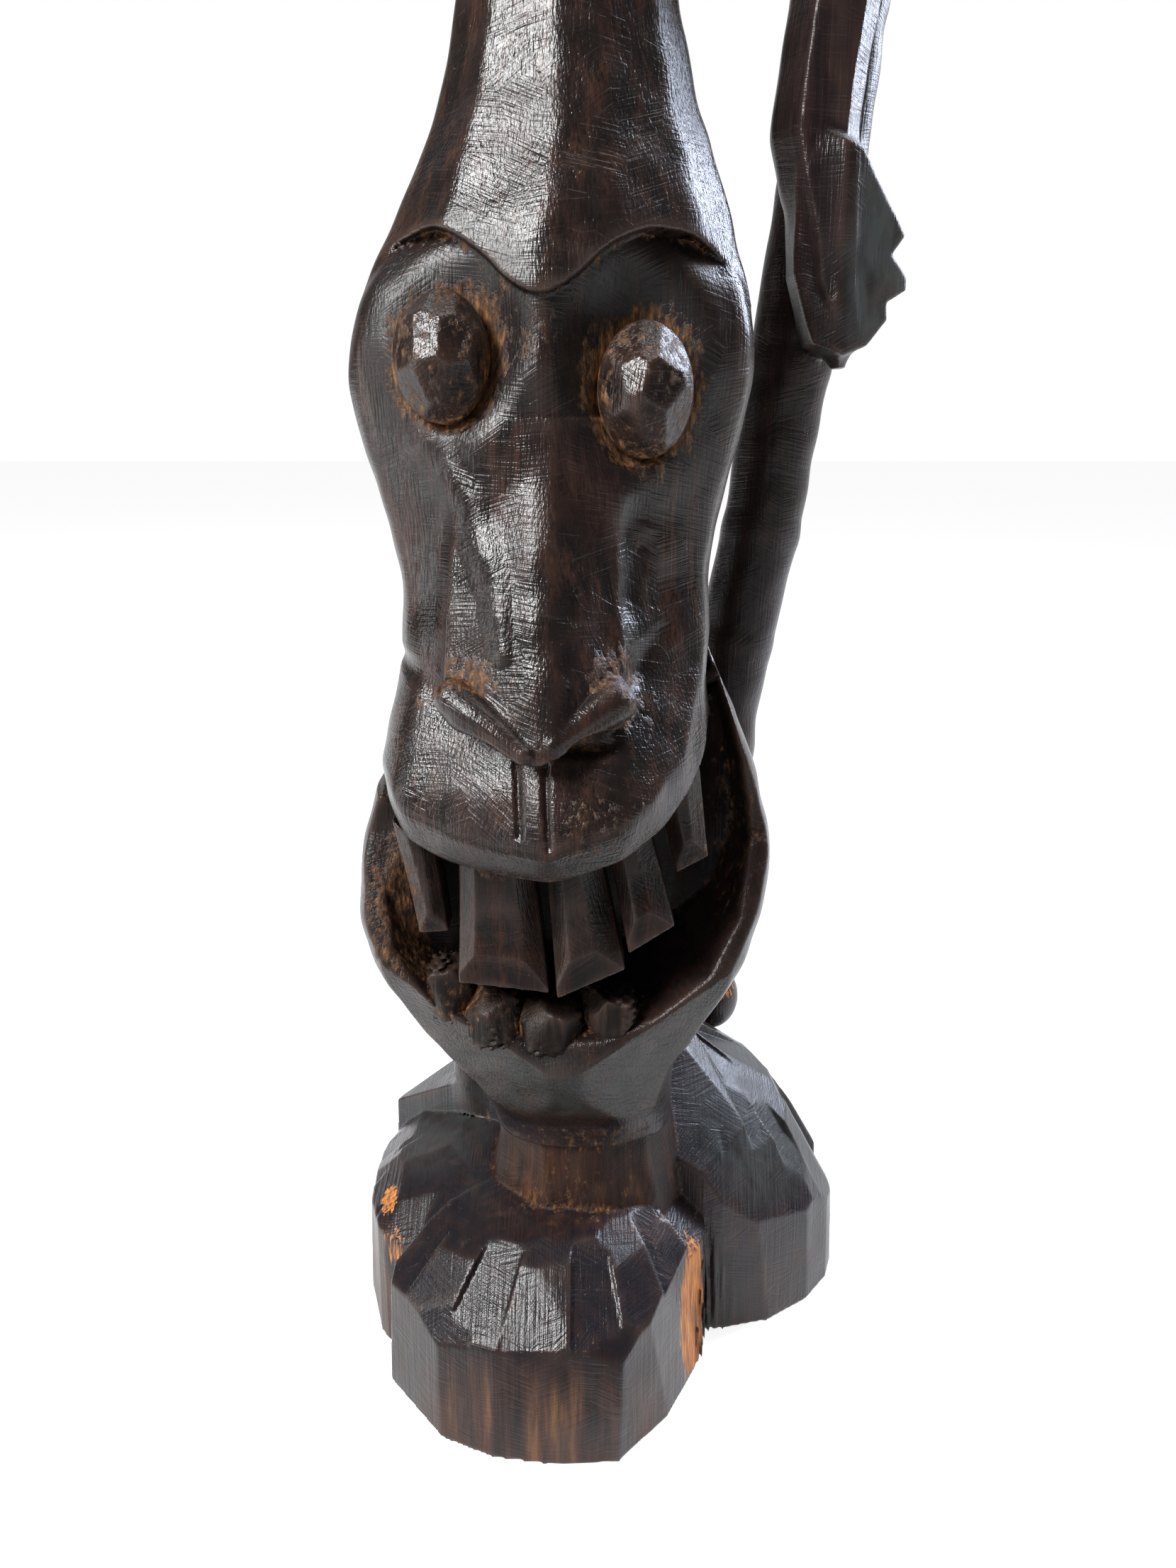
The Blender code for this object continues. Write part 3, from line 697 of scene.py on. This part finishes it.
carved_stump("lower_tooth_far_left", (-44.5, -50.5, 140.5), (6.2, 8, 8.5))
carved_stump("lower_tooth_left", (-32.5, -53.5, 134), (7.6, 8.5, 8))
carved_stump("lower_tooth_middle", (-17, -55, 132), (9.4, 8.5, 7.4))
carved_stump("lower_tooth_right", (-0.5, -53.5, 134), (8, 8, 7.2))

# ---- turning fields into closed skins
CORNERS = [(i, j, k) for i in (0, 1) for j in (0, 1) for k in (0, 1)]
EDGES = [(a, b) for a in range(8) for b in range(a + 1, 8) if b - a in (1, 2, 4) and not a & (b - a)]


def skin(block):
    """Points and four-sided faces on the zero level of a block's field."""
    f = block.field
    wood = f < 0.0
    size = tuple(n - 1 for n in f.shape)
    count = np.zeros(size, np.uint8)
    for i, j, k in CORNERS:
        count += wood[i:i + size[0], j:j + size[1], k:k + size[2]]
    active = (count > 0) & (count < 8)
    cells = np.argwhere(active)
    ids = np.full(size, -1, np.int32)
    ids[active] = np.arange(len(cells))
    values = [f[cells[:, 0] + i, cells[:, 1] + j, cells[:, 2] + k] for i, j, k in CORNERS]
    total = np.zeros((len(cells), 3))
    hits = np.zeros(len(cells))
    for a, b in EDGES:
        crossed = (values[a] < 0.0) != (values[b] < 0.0)
        gap = np.where(crossed, values[a] - values[b], 1.0)
        t = np.where(crossed, values[a] / gap, 0.0)
        start, end = np.array(CORNERS[a], dtype=float), np.array(CORNERS[b], dtype=float)
        total += crossed[:, None] * (start + t[:, None] * (end - start))
        hits += crossed
    points = block.low + block.pitch * (cells + total / hits[:, None])
    faces = []
    for axis in range(3):
        b, c = (axis + 1) % 3, (axis + 2) % 3
        near = [slice(1, n - 1) for n in f.shape]
        far = list(near)
        near[axis] = slice(0, f.shape[axis] - 1)
        far[axis] = slice(1, f.shape[axis])
        leaves = wood[tuple(near)] & ~wood[tuple(far)]
        enters = ~wood[tuple(near)] & wood[tuple(far)]
        for mask, flipped in ((leaves, False), (enters, True)):
            spot = np.argwhere(mask)
            spot[:, b] += 1
            spot[:, c] += 1
            ring = []
            for db, dc in ((-1, -1), (0, -1), (0, 0), (-1, 0)):
                cell = spot.copy()
                cell[:, b] += db
                cell[:, c] += dc
                ring.append(ids[cell[:, 0], cell[:, 1], cell[:, 2]])
            quad = np.stack(ring, axis=1)
            faces.append(quad[:, ::-1] if flipped else quad)
    return points, np.concatenate(faces)


# How enclosed each place is, from the share of wood in boxes round it
COARSE = 2
solid = (log.field[::COARSE, ::COARSE, ::COARSE] < 0.0).astype(np.float32)
coarse_axes = [axis[::COARSE] for axis in log.axes]
for block in blocks.values():
    where = []
    pick = []
    for i in range(3):
        axis = coarse_axes[i]
        inside = np.where((axis > block.axes[i][0]) & (axis < block.axes[i][-1]))[0]
        where.append(inside)
        steps = np.round((axis[inside] - block.low[i]) / block.pitch).astype(int)
        pick.append(np.clip(steps, 0, block.field.shape[i] - 1))
    solid[np.ix_(*where)] = np.maximum(solid[np.ix_(*where)], block.field[np.ix_(*pick)] < 0.0)


def box_mean(values, reach):
    """The mean over a box that reaches a number of steps to every side."""
    for axis in range(3):
        before = np.repeat(np.take(values, [0], axis), reach + 1, axis)
        after = np.repeat(np.take(values, [-1], axis), reach, axis)
        padded = np.concatenate([before, values, after], axis)
        running = np.cumsum(padded, axis=axis, dtype=np.float64)
        n = values.shape[axis]
        upper = np.take(running, range(2 * reach + 1, 2 * reach + 1 + n), axis)
        lower = np.take(running, range(0, n), axis)
        values = ((upper - lower) / (2 * reach + 1)).astype(np.float32)
    return values


coarse_pitch = PITCH * COARSE
wide_reach = max(1, round(4.0 / coarse_pitch))
wide = box_mean(box_mean(solid, wide_reach), wide_reach)
narrow = box_mean(solid, max(1, round(1.6 / coarse_pitch)))


def read(values, place):
    """Read an array at fractional places, blending the eight nearest entries."""
    base = np.clip(np.floor(place).astype(int), 0, np.array(values.shape) - 2)
    part = np.clip(place - base, 0.0, 1.0)
    total = np.zeros(len(place))
    for i, j, k in CORNERS:
        weight = np.abs(1 - i - part[:, 0]) * np.abs(1 - j - part[:, 1]) * np.abs(1 - k - part[:, 2])
        total += weight * values[base[:, 0] + i, base[:, 1] + j, base[:, 2] + k]
    return total


def sample(values, points):
    return read(values, (points - log.low) / coarse_pitch)


# Places of pale sapwood, painted shade with rougher oil in the sockets, the mouth and under the lip, a painted greyish
# sheen with rougher oil, brown split walls, black bark and raw wood: centre, radii, amount
SPOTS = {
    "sapwood": [
        ((26.5, -42, 22), (8, 12, 28), 1),
        ((-76, -20, 47), (9, 9, 4), 0.8),
        ((-70, -36, 40), (7, 9, 12), 0.5),
        ((66, 10, 317), (9, 10, 6), 0.55),
        ((41, 40, 92), (8, 9, 4), 0.6),
    ],
    # Painted shade: darker colour and rougher oil in the eye sockets, inside the mouth and on the band under the lip
    "matte_painted_shade": [
        ((-42, -50, 313), (25, 24, 27), 1),
        ((9, -50, 307), (27, 24, 30), 1),
        ((-16, -38, 165), (52, 22, 40), 0.8),
        ((-14, -74, 184), (50, 22, 7), 0.7),
    ],
    # Painted sheen: a greyish reflection of the ceiling, the windows and the floor, painted with rougher oil on the
    # planes that face them
    "painted_grey_sheen": [
        ((75, 5, 334), (13, 18, 34), 1),
        ((54, 10, 64), (34, 42, 26), 0.85),
        ((-60, 20, 62), (26, 40, 18), 0.5),
        ((-12, -54, 113), (46, 22, 15), 0.5),
        ((70, 10, 18), (16, 30, 24), 0.5),
    ],
    "wall": [
        ((-16, -74, 4), (48, 26, 30), 1),
        ((-76, -14, 4), (10, 50, 30), 0.7),
        ((60, -10, 0), (40, 40, 30), 0.25),
        ((-8, -40, 66), (34, 14, 26), 0.4),
    ],
    "bark": [((38.5, -27, 16), (7, 8, 24), 1)],
    "raw": [
        ((-41, -46, 306), (19, 14, 21), 0.75),
        ((8, -46, 299), (19, 14, 22), 0.75),
        ((-18, -50, 312), (9, 12, 14), 0.4),
        ((-42, -62, 286), (16, 12, 9), 0.4),
        ((-38, -66, 233), (14, 10, 6), 0.8),
        ((3, -66, 234), (12, 10, 8), 0.7),
        ((10, -70, 226), (12, 12, 10), 0.5),
        ((-50, -62, 226), (10, 12, 6), 0.6),
        ((-2, -80, 200), (12, 10, 10), 0.45),
        ((-58, -50, 165), (12, 18, 24), 0.8),
        ((-20, -72, 181), (26, 12, 4), 0.6),
        ((-40, -56, 138), (18, 14, 9), 0.5),
        ((-8, -44, 86), (30, 12, 7), 0.5),
        ((-28, -42, 64), (10, 8, 6), 0.8),
        ((-5, -42, 70), (30, 12, 12), 0.35),
        ((31, -44, 186), (12, 18, 32), 0.55),
    ],
}


def painted(points, mark):
    """How far each point lies inside the spots of a mark."""
    total = np.zeros(len(points))
    for centre, radii, amount in SPOTS[mark]:
        away = (((points - np.array(centre)) / np.array(radii)) ** 2).sum(axis=1)
        total = np.maximum(total, amount * np.clip(1.35 - away, 0.0, 1.0))
    return total


def slopes(block, points):
    """Unit normals at points, from the field's own gradient."""
    place = (points - block.low) / block.pitch
    steps = []
    for axis in range(3):
        push = np.zeros(3)
        push[axis] = 0.75
        steps.append(read(block.field, place + push) - read(block.field, place - push))
    normal = np.stack(steps, axis=1)
    return normal / np.maximum(np.linalg.norm(normal, axis=1), 1e-9)[:, None]


def rings(faces):
    """The closed rings of edges that only one face uses, in the order that a lid needs."""
    start = faces.ravel()
    end = np.roll(faces, -1, axis=1).ravel()
    width = int(faces.max()) + 1
    forth = start.astype(np.int64) * width + end
    back = end.astype(np.int64) * width + start
    keys, counts = np.unique(np.concatenate([forth, back]), return_inverse=True)
    surplus = np.bincount(counts, np.repeat([1.0, -1.0], len(forth)), len(keys))
    follow = {}
    for key, spare in zip(keys[surplus > 0.5].tolist(), surplus[surplus > 0.5].tolist()):
        follow.setdefault(key // width, []).extend([key % width] * round(spare))
    found = []
    while follow:
        first = next(iter(follow))
        ring = [first]
        here = first
        while True:
            options = follow[here]
            step = options.pop()
            if not options:
                del follow[here]
            if step == first:
                break
            ring.append(step)
            here = step
        found.append(ring)
    return found


def add_piece(name, points, normals, faces, nodes, material):
    """A closed piece from four-sided faces; the places where it meets its neighbours get lids inside the wood."""
    used, faces = np.unique(faces, return_inverse=True)
    faces = faces.reshape(-1, 4)
    points = points[used]
    normals = normals[used]
    lids = []
    for ring in rings(faces):
        middle = len(points)
        points = np.vstack([points, points[ring].mean(axis=0)])
        normals = np.vstack([normals, normals[ring].mean(axis=0)])
        lids += [(ring[i], middle, ring[(i + 1) % len(ring)]) for i in range(len(ring))]
    lids = np.array(lids, dtype=np.int32).reshape(-1, 3)[:, ::-1]
    corners = np.concatenate([faces.astype(np.int32).ravel(), lids.ravel()])
    starts = np.concatenate([np.arange(len(faces)) * 4, faces.size + np.arange(len(lids)) * 3])
    mesh = bpy.data.meshes.new(name)
    mesh.vertices.add(len(points))
    mesh.vertices.foreach_set("co", (points * 0.001).astype(np.float32).ravel())
    mesh.loops.add(len(corners))
    mesh.loops.foreach_set("vertex_index", corners)
    mesh.polygons.add(len(starts))
    mesh.polygons.foreach_set("loop_start", starts.astype(np.int32))
    mesh.update(calc_edges=True)
    mesh.polygons.foreach_set("use_smooth", np.ones(len(starts), bool))
    mesh.normals_split_custom_set_from_vertices(normals.astype(np.float32))
    marks = {
        "hollow": np.clip((sample(wide, points) - 0.50) * 3.6, 0.0, 1.0),
        # Thin edges: rubbed wear, lightened further in the colour as a painted highlight
        "rubbed_edge_highlight": np.clip((0.50 - sample(narrow, points)) * 4.0, 0.0, 1.0),
    }
    # Eyes and teeth have no lids, and carry no painted shade, brown walls or painted greyish sheen
    for mark in ("sapwood", "bark", "raw") + (("matte_painted_shade", "wall", "painted_grey_sheen") if len(lids) else ()):
        marks[mark] = painted(points, mark)
    for mark, values in marks.items():
        layer = mesh.attributes.new(mark, "FLOAT", "POINT")
        layer.data.foreach_set("value", values.astype(np.float32))
    item = bpy.data.objects.new(name, mesh)
    bpy.context.scene.collection.objects.link(item)
    mesh.materials.append(material)
    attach(item, "root")
    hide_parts(*nodes)
    return item


# ---- materials
def linear(code):
    """An sRGB hex colour as linear red, green, blue, alpha."""
    parts = [int(code[i:i + 2], 16) / 255.0 for i in (1, 3, 5)]
    return tuple(c / 12.92 if c <= 0.04045 else ((c + 0.055) / 1.055) ** 2.4 for c in parts) + (1.0,)


def node(tree, kind, inputs, out=0, stops=(), **settings):
    """Add a node with its settings, set or link its inputs, give a ramp its stops, and return one output."""
    item = tree.nodes.new(kind)
    for key, value in settings.items():
        setattr(item, key, value)
    for socket, value in inputs.items():
        if isinstance(value, bpy.types.NodeSocket):
            tree.links.new(value, item.inputs[socket])
        else:
            item.inputs[socket].default_value = value
    if stops:
        elements = item.color_ramp.elements
        while len(elements) < len(stops):
            elements.new(1.0)
        for element, (position, shade) in zip(elements, stops):
            element.position = position
            element.color = linear(shade) if isinstance(shade, str) else (shade, shade, shade, 1.0)
    return item.outputs[out] if len(item.outputs) else None


RELIEF_DEPTH = 0.00022
OIL_IOR = 1.5


def blackwood(
    name, dark="#171211", streak="#412b21", streaks=0.6, gloss=0.27, shine=0.34, scratch=1.0, worn=1.0,
    grain=(0.7, 0.7, 30.0),
):
    """African blackwood, carved with knife and file, then oiled: near-black heartwood with a satin shine.

    The grain runs up the log in brown and purplish streaks 1 to 4 mm wide, the file leaves fans of fine
    scratches on each plane, and the oil has missed the hollows, which stay rough and rusty brown.
    """
    material = bpy.data.materials.new(name)
    material.use_nodes = True
    tree = material.node_tree
    made = {}
    for mark in ("hollow", "rubbed_edge_highlight", *SPOTS):
        made[mark] = node(tree, "ShaderNodeAttribute", {}, "Fac", attribute_name=mark, attribute_type="GEOMETRY")

    # Knife cuts 11 mm wide, each with its own direction of file scratches, worked out in millimetres
    place = node(tree, "ShaderNodeTexCoord", {}, "Object")
    mm = node(tree, "ShaderNodeVectorMath", {0: place, "Scale": 1000.0}, operation="SCALE")
    cuts = node(
        tree, "ShaderNodeMapping",
        {"Vector": mm, "Location": (41.0, 41.0 * 0.7, 41.0 * 1.3), "Scale": (1.0 / 11.0, 1.0 / 11.0, 1.0 / 14.0)},
    )
    cells = node(tree, "ShaderNodeTexVoronoi", {"Vector": cuts, "Scale": 1.0, "Randomness": 1.0}, "Color")
    red = node(tree, "ShaderNodeSeparateColor", {0: cells})
    turn = node(tree, "ShaderNodeMath", {0: red, 1: 1.3, 2: -0.65}, operation="MULTIPLY_ADD")
    spun = node(
        tree, "ShaderNodeVectorRotate", {"Vector": mm, "Center": (0.0, 0.0, 0.0), "Angle": turn}, rotation_type="Y_AXIS"
    )

    # Patterns: real size across, deep and along the log in millimetres, seed, detail, roughness and tilt.
    # The pores and file scratches are drawn as coarse as they need to show
    for key, space, size, seed, detail, rough, tilt in (
        ("streaks", mm, (4.5, 4.5, 70.0), 3.0, 2.0, 0.55, 0.0),
        ("lines", mm, grain, 7.0, 2.0, 0.55, 0.0),
        ("pores", mm, (0.45, 0.45, 5.0), 11.0, 1.0, 0.55, 0.0),
        ("patches", mm, (13.0, 13.0, 24.0), 17.0, 2.0, 0.55, 0.0),
        ("blotches", mm, (2.2, 2.2, 3.4), 23.0, 4.0, 0.65, 0.0),
        ("raw grain", mm, (1.1, 1.1, 4.0), 29.0, 4.0, 0.6, 0.0),
        ("splits", mm, (1.0, 1.0, 14.0), 31.0, 4.0, 0.6, 0.0),
        ("flakes", mm, (1.2, 1.2, 9.0), 37.0, 3.0, 0.55, 0.0),
        ("dents", mm, (5.0, 5.0, 7.0), 43.0, 2.0, 0.55, 0.0),
        ("wall grain", mm, (4.5, 4.5, 60.0), 47.0, 4.0, 0.6, 0.0),
        ("dust", mm, (5.0, 5.0, 12.0), 53.0, 3.0, 0.55, 0.0),
        ("scratches", spun, (100.0 / 7.0, 100.0 / 7.0, 2.0 / 3.0), 0.0, 2.0, 0.6, 0.0),
        ("crossing", spun, (20.0, 20.0, 5.0 / 7.0), 0.0, 1.0, 0.55, 0.9),
    ):
        shift = (seed, seed * 0.7, seed * 1.3)
        steps = tuple(1.0 / part for part in size)
        spread = {"Vector": space, "Location": shift, "Rotation": (0.0, tilt, 0.0), "Scale": steps}
        spread = node(tree, "ShaderNodeMapping", spread)
        grained = {"Vector": spread, "Scale": 1.0, "Detail": detail, "Roughness": rough}
        made[key] = node(tree, "ShaderNodeTexNoise", grained)

    # Ragged edges of the raw wood and of the sapwood
    for key, total, parts in (
        ("raw edge", -1.1, (("hollow", 0.75 * worn), ("raw", 0.8), ("blotches", 2.2))),
        ("sapwood edge", -0.8, (("sapwood", 1.0), ("splits", 1.6))),
    ):
        for part, weight in parts:
            total = node(tree, "ShaderNodeMath", {0: made[part], 1: weight, 2: total}, operation="MULTIPLY_ADD")
        made[key] = total

    # Shares and colours read from a pattern
    for key, source, *stops in (
        ("bands", "streaks", (0.46, 0.0), (0.66, 1.0)),
        ("light lines", "lines", (0.38, 0.25), (0.62, 1.0)),
        ("dark lines", "lines", (0.30, 1.0), (0.42, 0.0)),
        ("patch", "patches", (0.50, 0.0), (0.72, 1.0)),
        ("wall colour", "wall grain", (0.34, "#130e0d"), (0.46, "#2c1a15"), (0.57, "#43281b"), (0.70, "#6b482a")),
        ("dust cover", "dust", (0.32, 0.25), (0.60, 0.8)),
        ("raw cover", "raw edge", (0.42, 0.0), (0.95, 1.0)),
        ("raw colour", "raw grain", (0.34, "#1d110b"), (0.50, "#54371f"), (0.68, "#8f6338")),
        ("sapwood share", "sapwood edge", (0.45, 0.0), (0.62, 1.0)),
        ("sapwood reach", "sapwood", (0.05, 0.0), (0.25, 1.0)),
        ("sapwood colour", "splits", (0.32, "#4a2410"), (0.48, "#9c5a24"), (0.66, "#c5823d")),
        ("flake share", "flakes", (0.40, 0.0), (0.55, 1.0)),
        ("deep", "crossing", (0.64, 0.0), (0.70, 1.0)),
    ):
        made[key] = node(tree, "ShaderNodeValToRGB", {0: made[source]}, stops=stops)
    for key, a, b in (
        ("streak cover", "bands", "light lines"),
        ("painted sheen cover", "painted_grey_sheen", "dust cover"),
        ("sapwood cover", "sapwood share", "sapwood reach"),
        ("bark cover", "bark", "flake share"),
        ("pits", "raw cover", "blotches"),
    ):
        made[key] = node(tree, "ShaderNodeMath", {0: made[a], 1: made[b]}, operation="MULTIPLY")

    # Colour, from the heartwood up: brown streaks, stains and dark lines, split walls, a painted greyish sheen,
    # painted shade in the sockets, the mouth and under the lip, rusty raw wood in the hollows, orange sapwood, black
    # bark, deep scratches, and rubbed edges lightened further as painted highlights
    colour = linear(dark)
    for cover, strength, coat in (
        ("streak cover", streaks, linear(streak)),
        ("patch", 0.45, linear("#2b1a16")),
        ("dark lines", 0.5, linear("#0c0909")),
        ("wall", 0.85, made["wall colour"]),
        # painted greyish sheen on planes facing the ceiling, the windows and the floor
        ("painted sheen cover", 1.0, linear("#3e4241")),
        # painted shade in the sockets, the mouth and under the lip
        ("matte_painted_shade", 0.8, linear("#0f0b0a")),
        ("raw cover", 0.92, made["raw colour"]),
        ("sapwood cover", 1.0, made["sapwood colour"]),
        ("bark cover", 1.0, linear("#0f0b09")),
        ("deep", 0.18, linear("#3a302c")),
        # rubbed edges, lightened further as a painted highlight
        ("rubbed_edge_highlight", 0.5, linear("#46362f")),
    ):
        amount = node(tree, "ShaderNodeMath", {0: made[cover], 1: strength}, operation="MULTIPLY")
        colour = node(tree, "ShaderNodeMix", {0: amount, 6: colour, 7: coat}, 2, data_type="RGBA")

    # Relief in units of its depth, and the roughness that each finish adds to the gloss of the oil
    height = (0.0, (("scratches", 0.7 * scratch), ("deep", -0.12 * scratch), ("lines", 0.85), ("pores", 0.25),
                    ("dents", 0.4), ("pits", 1.6)))
    rough = (gloss - 0.125, (("patches", 0.25), ("raw cover", 0.45), ("sapwood cover", 0.25), ("wall", 0.12),
                             ("painted sheen cover", 0.22), ("matte_painted_shade", 0.18)))
    for key, (total, parts) in (("height", height), ("rough", rough)):
        for part, weight in parts:
            total = node(tree, "ShaderNodeMath", {0: made[part], 1: weight, 2: total}, operation="MULTIPLY_ADD")
        made[key] = total
    bump = node(tree, "ShaderNodeBump", {"Height": made["height"], "Strength": 1.0, "Distance": RELIEF_DEPTH})
    shader = tree.nodes["Principled BSDF"]
    for socket, value in (("Base Color", colour), ("Roughness", made["rough"]), ("Normal", bump)):
        tree.links.new(value, shader.inputs[socket])
    shader.inputs["IOR"].default_value = OIL_IOR
    shader.inputs["Specular IOR Level"].default_value = shine
    return material


polished = blackwood("oiled_blackwood_polished", gloss=0.24, shine=0.38)
mouth_wood = blackwood("oiled_blackwood_mouth", streak="#43271a", streaks=0.4, gloss=0.30, shine=0.26)
neck_wood = blackwood("oiled_blackwood_neck", dark="#1f1512", streak="#4a2d1f", gloss=0.42, shine=0.22)
base_wood = blackwood(
    "chiselled_blackwood_base", dark="#1b181c", streak="#33201a", streaks=0.4, gloss=0.28, worn=0.55,
    grain=(0.8, 14.0, 30.0),
)
rear_wood = blackwood(
    "oiled_blackwood_rear_figure", dark="#1a1314", streak="#35241f", streaks=0.5, gloss=0.30, shine=0.28
)
tooth_wood = blackwood(
    "oiled_blackwood_teeth", streak="#452718", streaks=0.4, gloss=0.29, shine=0.32, scratch=0.6
)
stump_wood = blackwood(
    "weathered_blackwood_stumps", dark="#14100e", streak="#43342a", streaks=0.7, gloss=0.42, shine=0.2, scratch=0.5
)

# ---- parting the log into its carved elements
log_points, log_faces = skin(log)
log_normals = slopes(log, log_points)
middle = log_points[log_faces].mean(axis=1)
mx, my, mz = middle.T
HEAD_FOOT = 296
HIPS_TOP = 206

rear = np.where(mz > HEAD_FOOT, mx > 40, my > 19.6) & (mz > 150)
neck_side = section(NECK, 2.5, NECK_PLANES, (30, 400))(mx, my, mz)
smile_side = above(SMILE)(mx, my, mz)
brow_side = above(BROW)(mx, my, mz)
base = mz < BASE_TOP
bearing = np.degrees(np.arctan2(mx + 10, -(my + 12)))
off_pole = (small_head(mx, my, mz) < 1.5) | (path(POLE, [POLE_RADIUS] * len(POLE))(mx, my, mz) > 2.5)

# Each face of the skin goes to the first element whose zone holds it
ZONES = [
    ("crest", mz > 457, polished),
    ("small_head", (mz > 306.5) & (mx > 40) & (my < 27) & off_pole, rear_wood),
    ("left_leg", (left_leg(mx, my, mz) < 1.2) & (mz > 50), rear_wood),
    ("right_leg", (right_leg(mx, my, mz) < 1.2) & (mz > BASE_TOP), rear_wood),
    ("right_foot", right_foot(mx, my, mz) < 0.9, rear_wood),
    ("hips", rear & (mz < HIPS_TOP), rear_wood),
    ("body", rear, rear_wood),
    ("neck", (np.abs(neck_side) < 0.9) & (mz > 42) & base, neck_wood),
    ("base_front", base & (bearing > -70) & (bearing < 68.9), base_wood),
    ("base_right", base & (bearing >= 68.9) & (bearing < 153.8), base_wood),
    ("base_rear", base & (np.abs(bearing) >= 153.8), base_wood),
    ("base_left", base, base_wood),
    ("jaw", smile_side < -0.6, mouth_wood),
    ("mask", brow_side < 0, polished),
    ("cranium", brow_side >= 0, polished),
]
SHARED = {
    "small_head": ("small_cranium", "small_face", "small_nose", "small_lips", "small_chin"),
    "mask": ("face", "nose", "upper_lip"),
}
free = np.ones(len(log_faces), bool)
for name, zone, wood in ZONES:
    chosen = zone & free
    free &= ~zone
    add_piece(name + "_carved", log_points, log_normals, log_faces[chosen], SHARED.get(name, (name,)), wood)

for name, block in blocks.items():
    points, faces = skin(block)
    wood = polished if name.startswith("eye") else tooth_wood if name.startswith("upper") else stump_wood
    add_piece(name + "_carved", points, slopes(block, points), faces, (name,), wood)


# ---- floor, light and camera
def stage_sheet(name, near_left, far_right, level, finish, colour, rough, glow):
    """A flat matt sheet of the stage that glows a little of itself."""
    (left, near), (right, far) = near_left, far_right
    mesh = bpy.data.meshes.new(name)
    corners = [(left, near, level), (right, near, level), (right, far, level), (left, far, level)]
    mesh.from_pydata(corners, [], [(0, 1, 2, 3)])
    item = bpy.data.objects.new(name, mesh)
    bpy.context.scene.collection.objects.link(item)
    material = bpy.data.materials.new(finish)
    material.use_nodes = True
    shader = material.node_tree.nodes["Principled BSDF"]
    for socket, value in (
        ("Base Color", linear(colour)), ("Roughness", rough), ("Specular IOR Level", 0.0),
        ("Emission Color", linear("#ffffff")), ("Emission Strength", glow),
    ):
        shader.inputs[socket].default_value = value
    mesh.materials.append(material)
    return item


stage_sheet("floor", (-6, -6), (6, 6), 0, "white_studio_paper", "#a8a8a8", 0.9, 0.86)

# A dark card lies before the carving, out of sight, so that planes facing down and forwards mirror no white paper
card = stage_sheet("dark_card", (-0.5, -0.9), (0.5, -0.10), 0.001, "dark_felt_card", "#3c3c3c", 1.0, 0.18)
card.visible_camera = card.visible_diffuse = card.visible_shadow = card.visible_transmission = False

# The room is white behind the carving and dim in front of it; the eye sees white paper all round
world = bpy.data.worlds.new("studio")
bpy.context.scene.world = world
world.use_nodes = True
sky = world.node_tree
sky.nodes.clear()
direction = node(sky, "ShaderNodeTexCoord", {}, "Generated")
across = node(
    sky, "ShaderNodeVectorMath", {0: direction, 1: (0.35, 0.80, 0.30)}, "Value", operation="DOT_PRODUCT"
)
ROOM = [(0.0, 0.03), (0.35, 0.08), (0.75, 0.70), (1.0, 1.0)]
room = node(sky, "ShaderNodeValToRGB", {0: across}, stops=ROOM)
seen = node(sky, "ShaderNodeLightPath", {}, "Is Camera Ray")
shade = node(sky, "ShaderNodeMix", {0: seen, 6: room, 7: (1.0, 1.0, 1.0, 1.0)}, 2, data_type="RGBA")
glow = node(sky, "ShaderNodeBackground", {"Color": shade, "Strength": 1.0})
node(sky, "ShaderNodeOutputWorld", {"Surface": glow})
bpy.context.scene.view_settings.view_transform = "Standard"

# Softboxes: name, place, aim, size in metres, watts, colour
for name, place, aim, size, power, colour in (
    ("window_left", (-0.80, -0.72, 1.10), (-0.02, -0.04, 0.33), (0.34, 0.62), 33.0, "#ffffff"),
    ("window_right", (0.85, 0.50, 0.90), (0.0, 0.0, 0.35), (0.30, 0.90), 23.0, "#dfe9ff"),
    ("window_low", (-1.00, -0.22, 0.30), (0.0, -0.04, 0.20), (0.22, 0.50), 2.0, "#ffffff"),
    ("ceiling", (0.25, 0.30, 1.60), (0.0, 0.0, 0.1), (1.2, 0.9), 12.0, "#ffffff"),
):
    light = bpy.data.lights.new(name, "AREA")
    light.shape = "RECTANGLE"
    light.size, light.size_y = size
    light.energy = power
    light.color = linear(colour)[:3]
    softbox = bpy.data.objects.new(name, light)
    bpy.context.scene.collection.objects.link(softbox)
    softbox.location = place
    way = mathutils.Vector(aim) - mathutils.Vector(place)
    softbox.rotation_euler = way.to_track_quat("-Z", "Y").to_euler()

# A phone's wide lens, about 0.35 m in front of the carving and tilted down 18 degrees
camera_data = bpy.data.cameras.new("camera")
camera_data.sensor_fit = "VERTICAL"
camera_data.sensor_height = 36.0
camera_data.lens = 27.03
camera_data.clip_start = 0.01
camera = bpy.data.objects.new("camera", camera_data)
bpy.context.scene.collection.objects.link(camera)
camera.location = (-0.006, -0.347, 0.297)
camera.rotation_euler = (math.radians(90.0 - 18.0), 0.0, 0.0)
bpy.context.scene.camera = camera
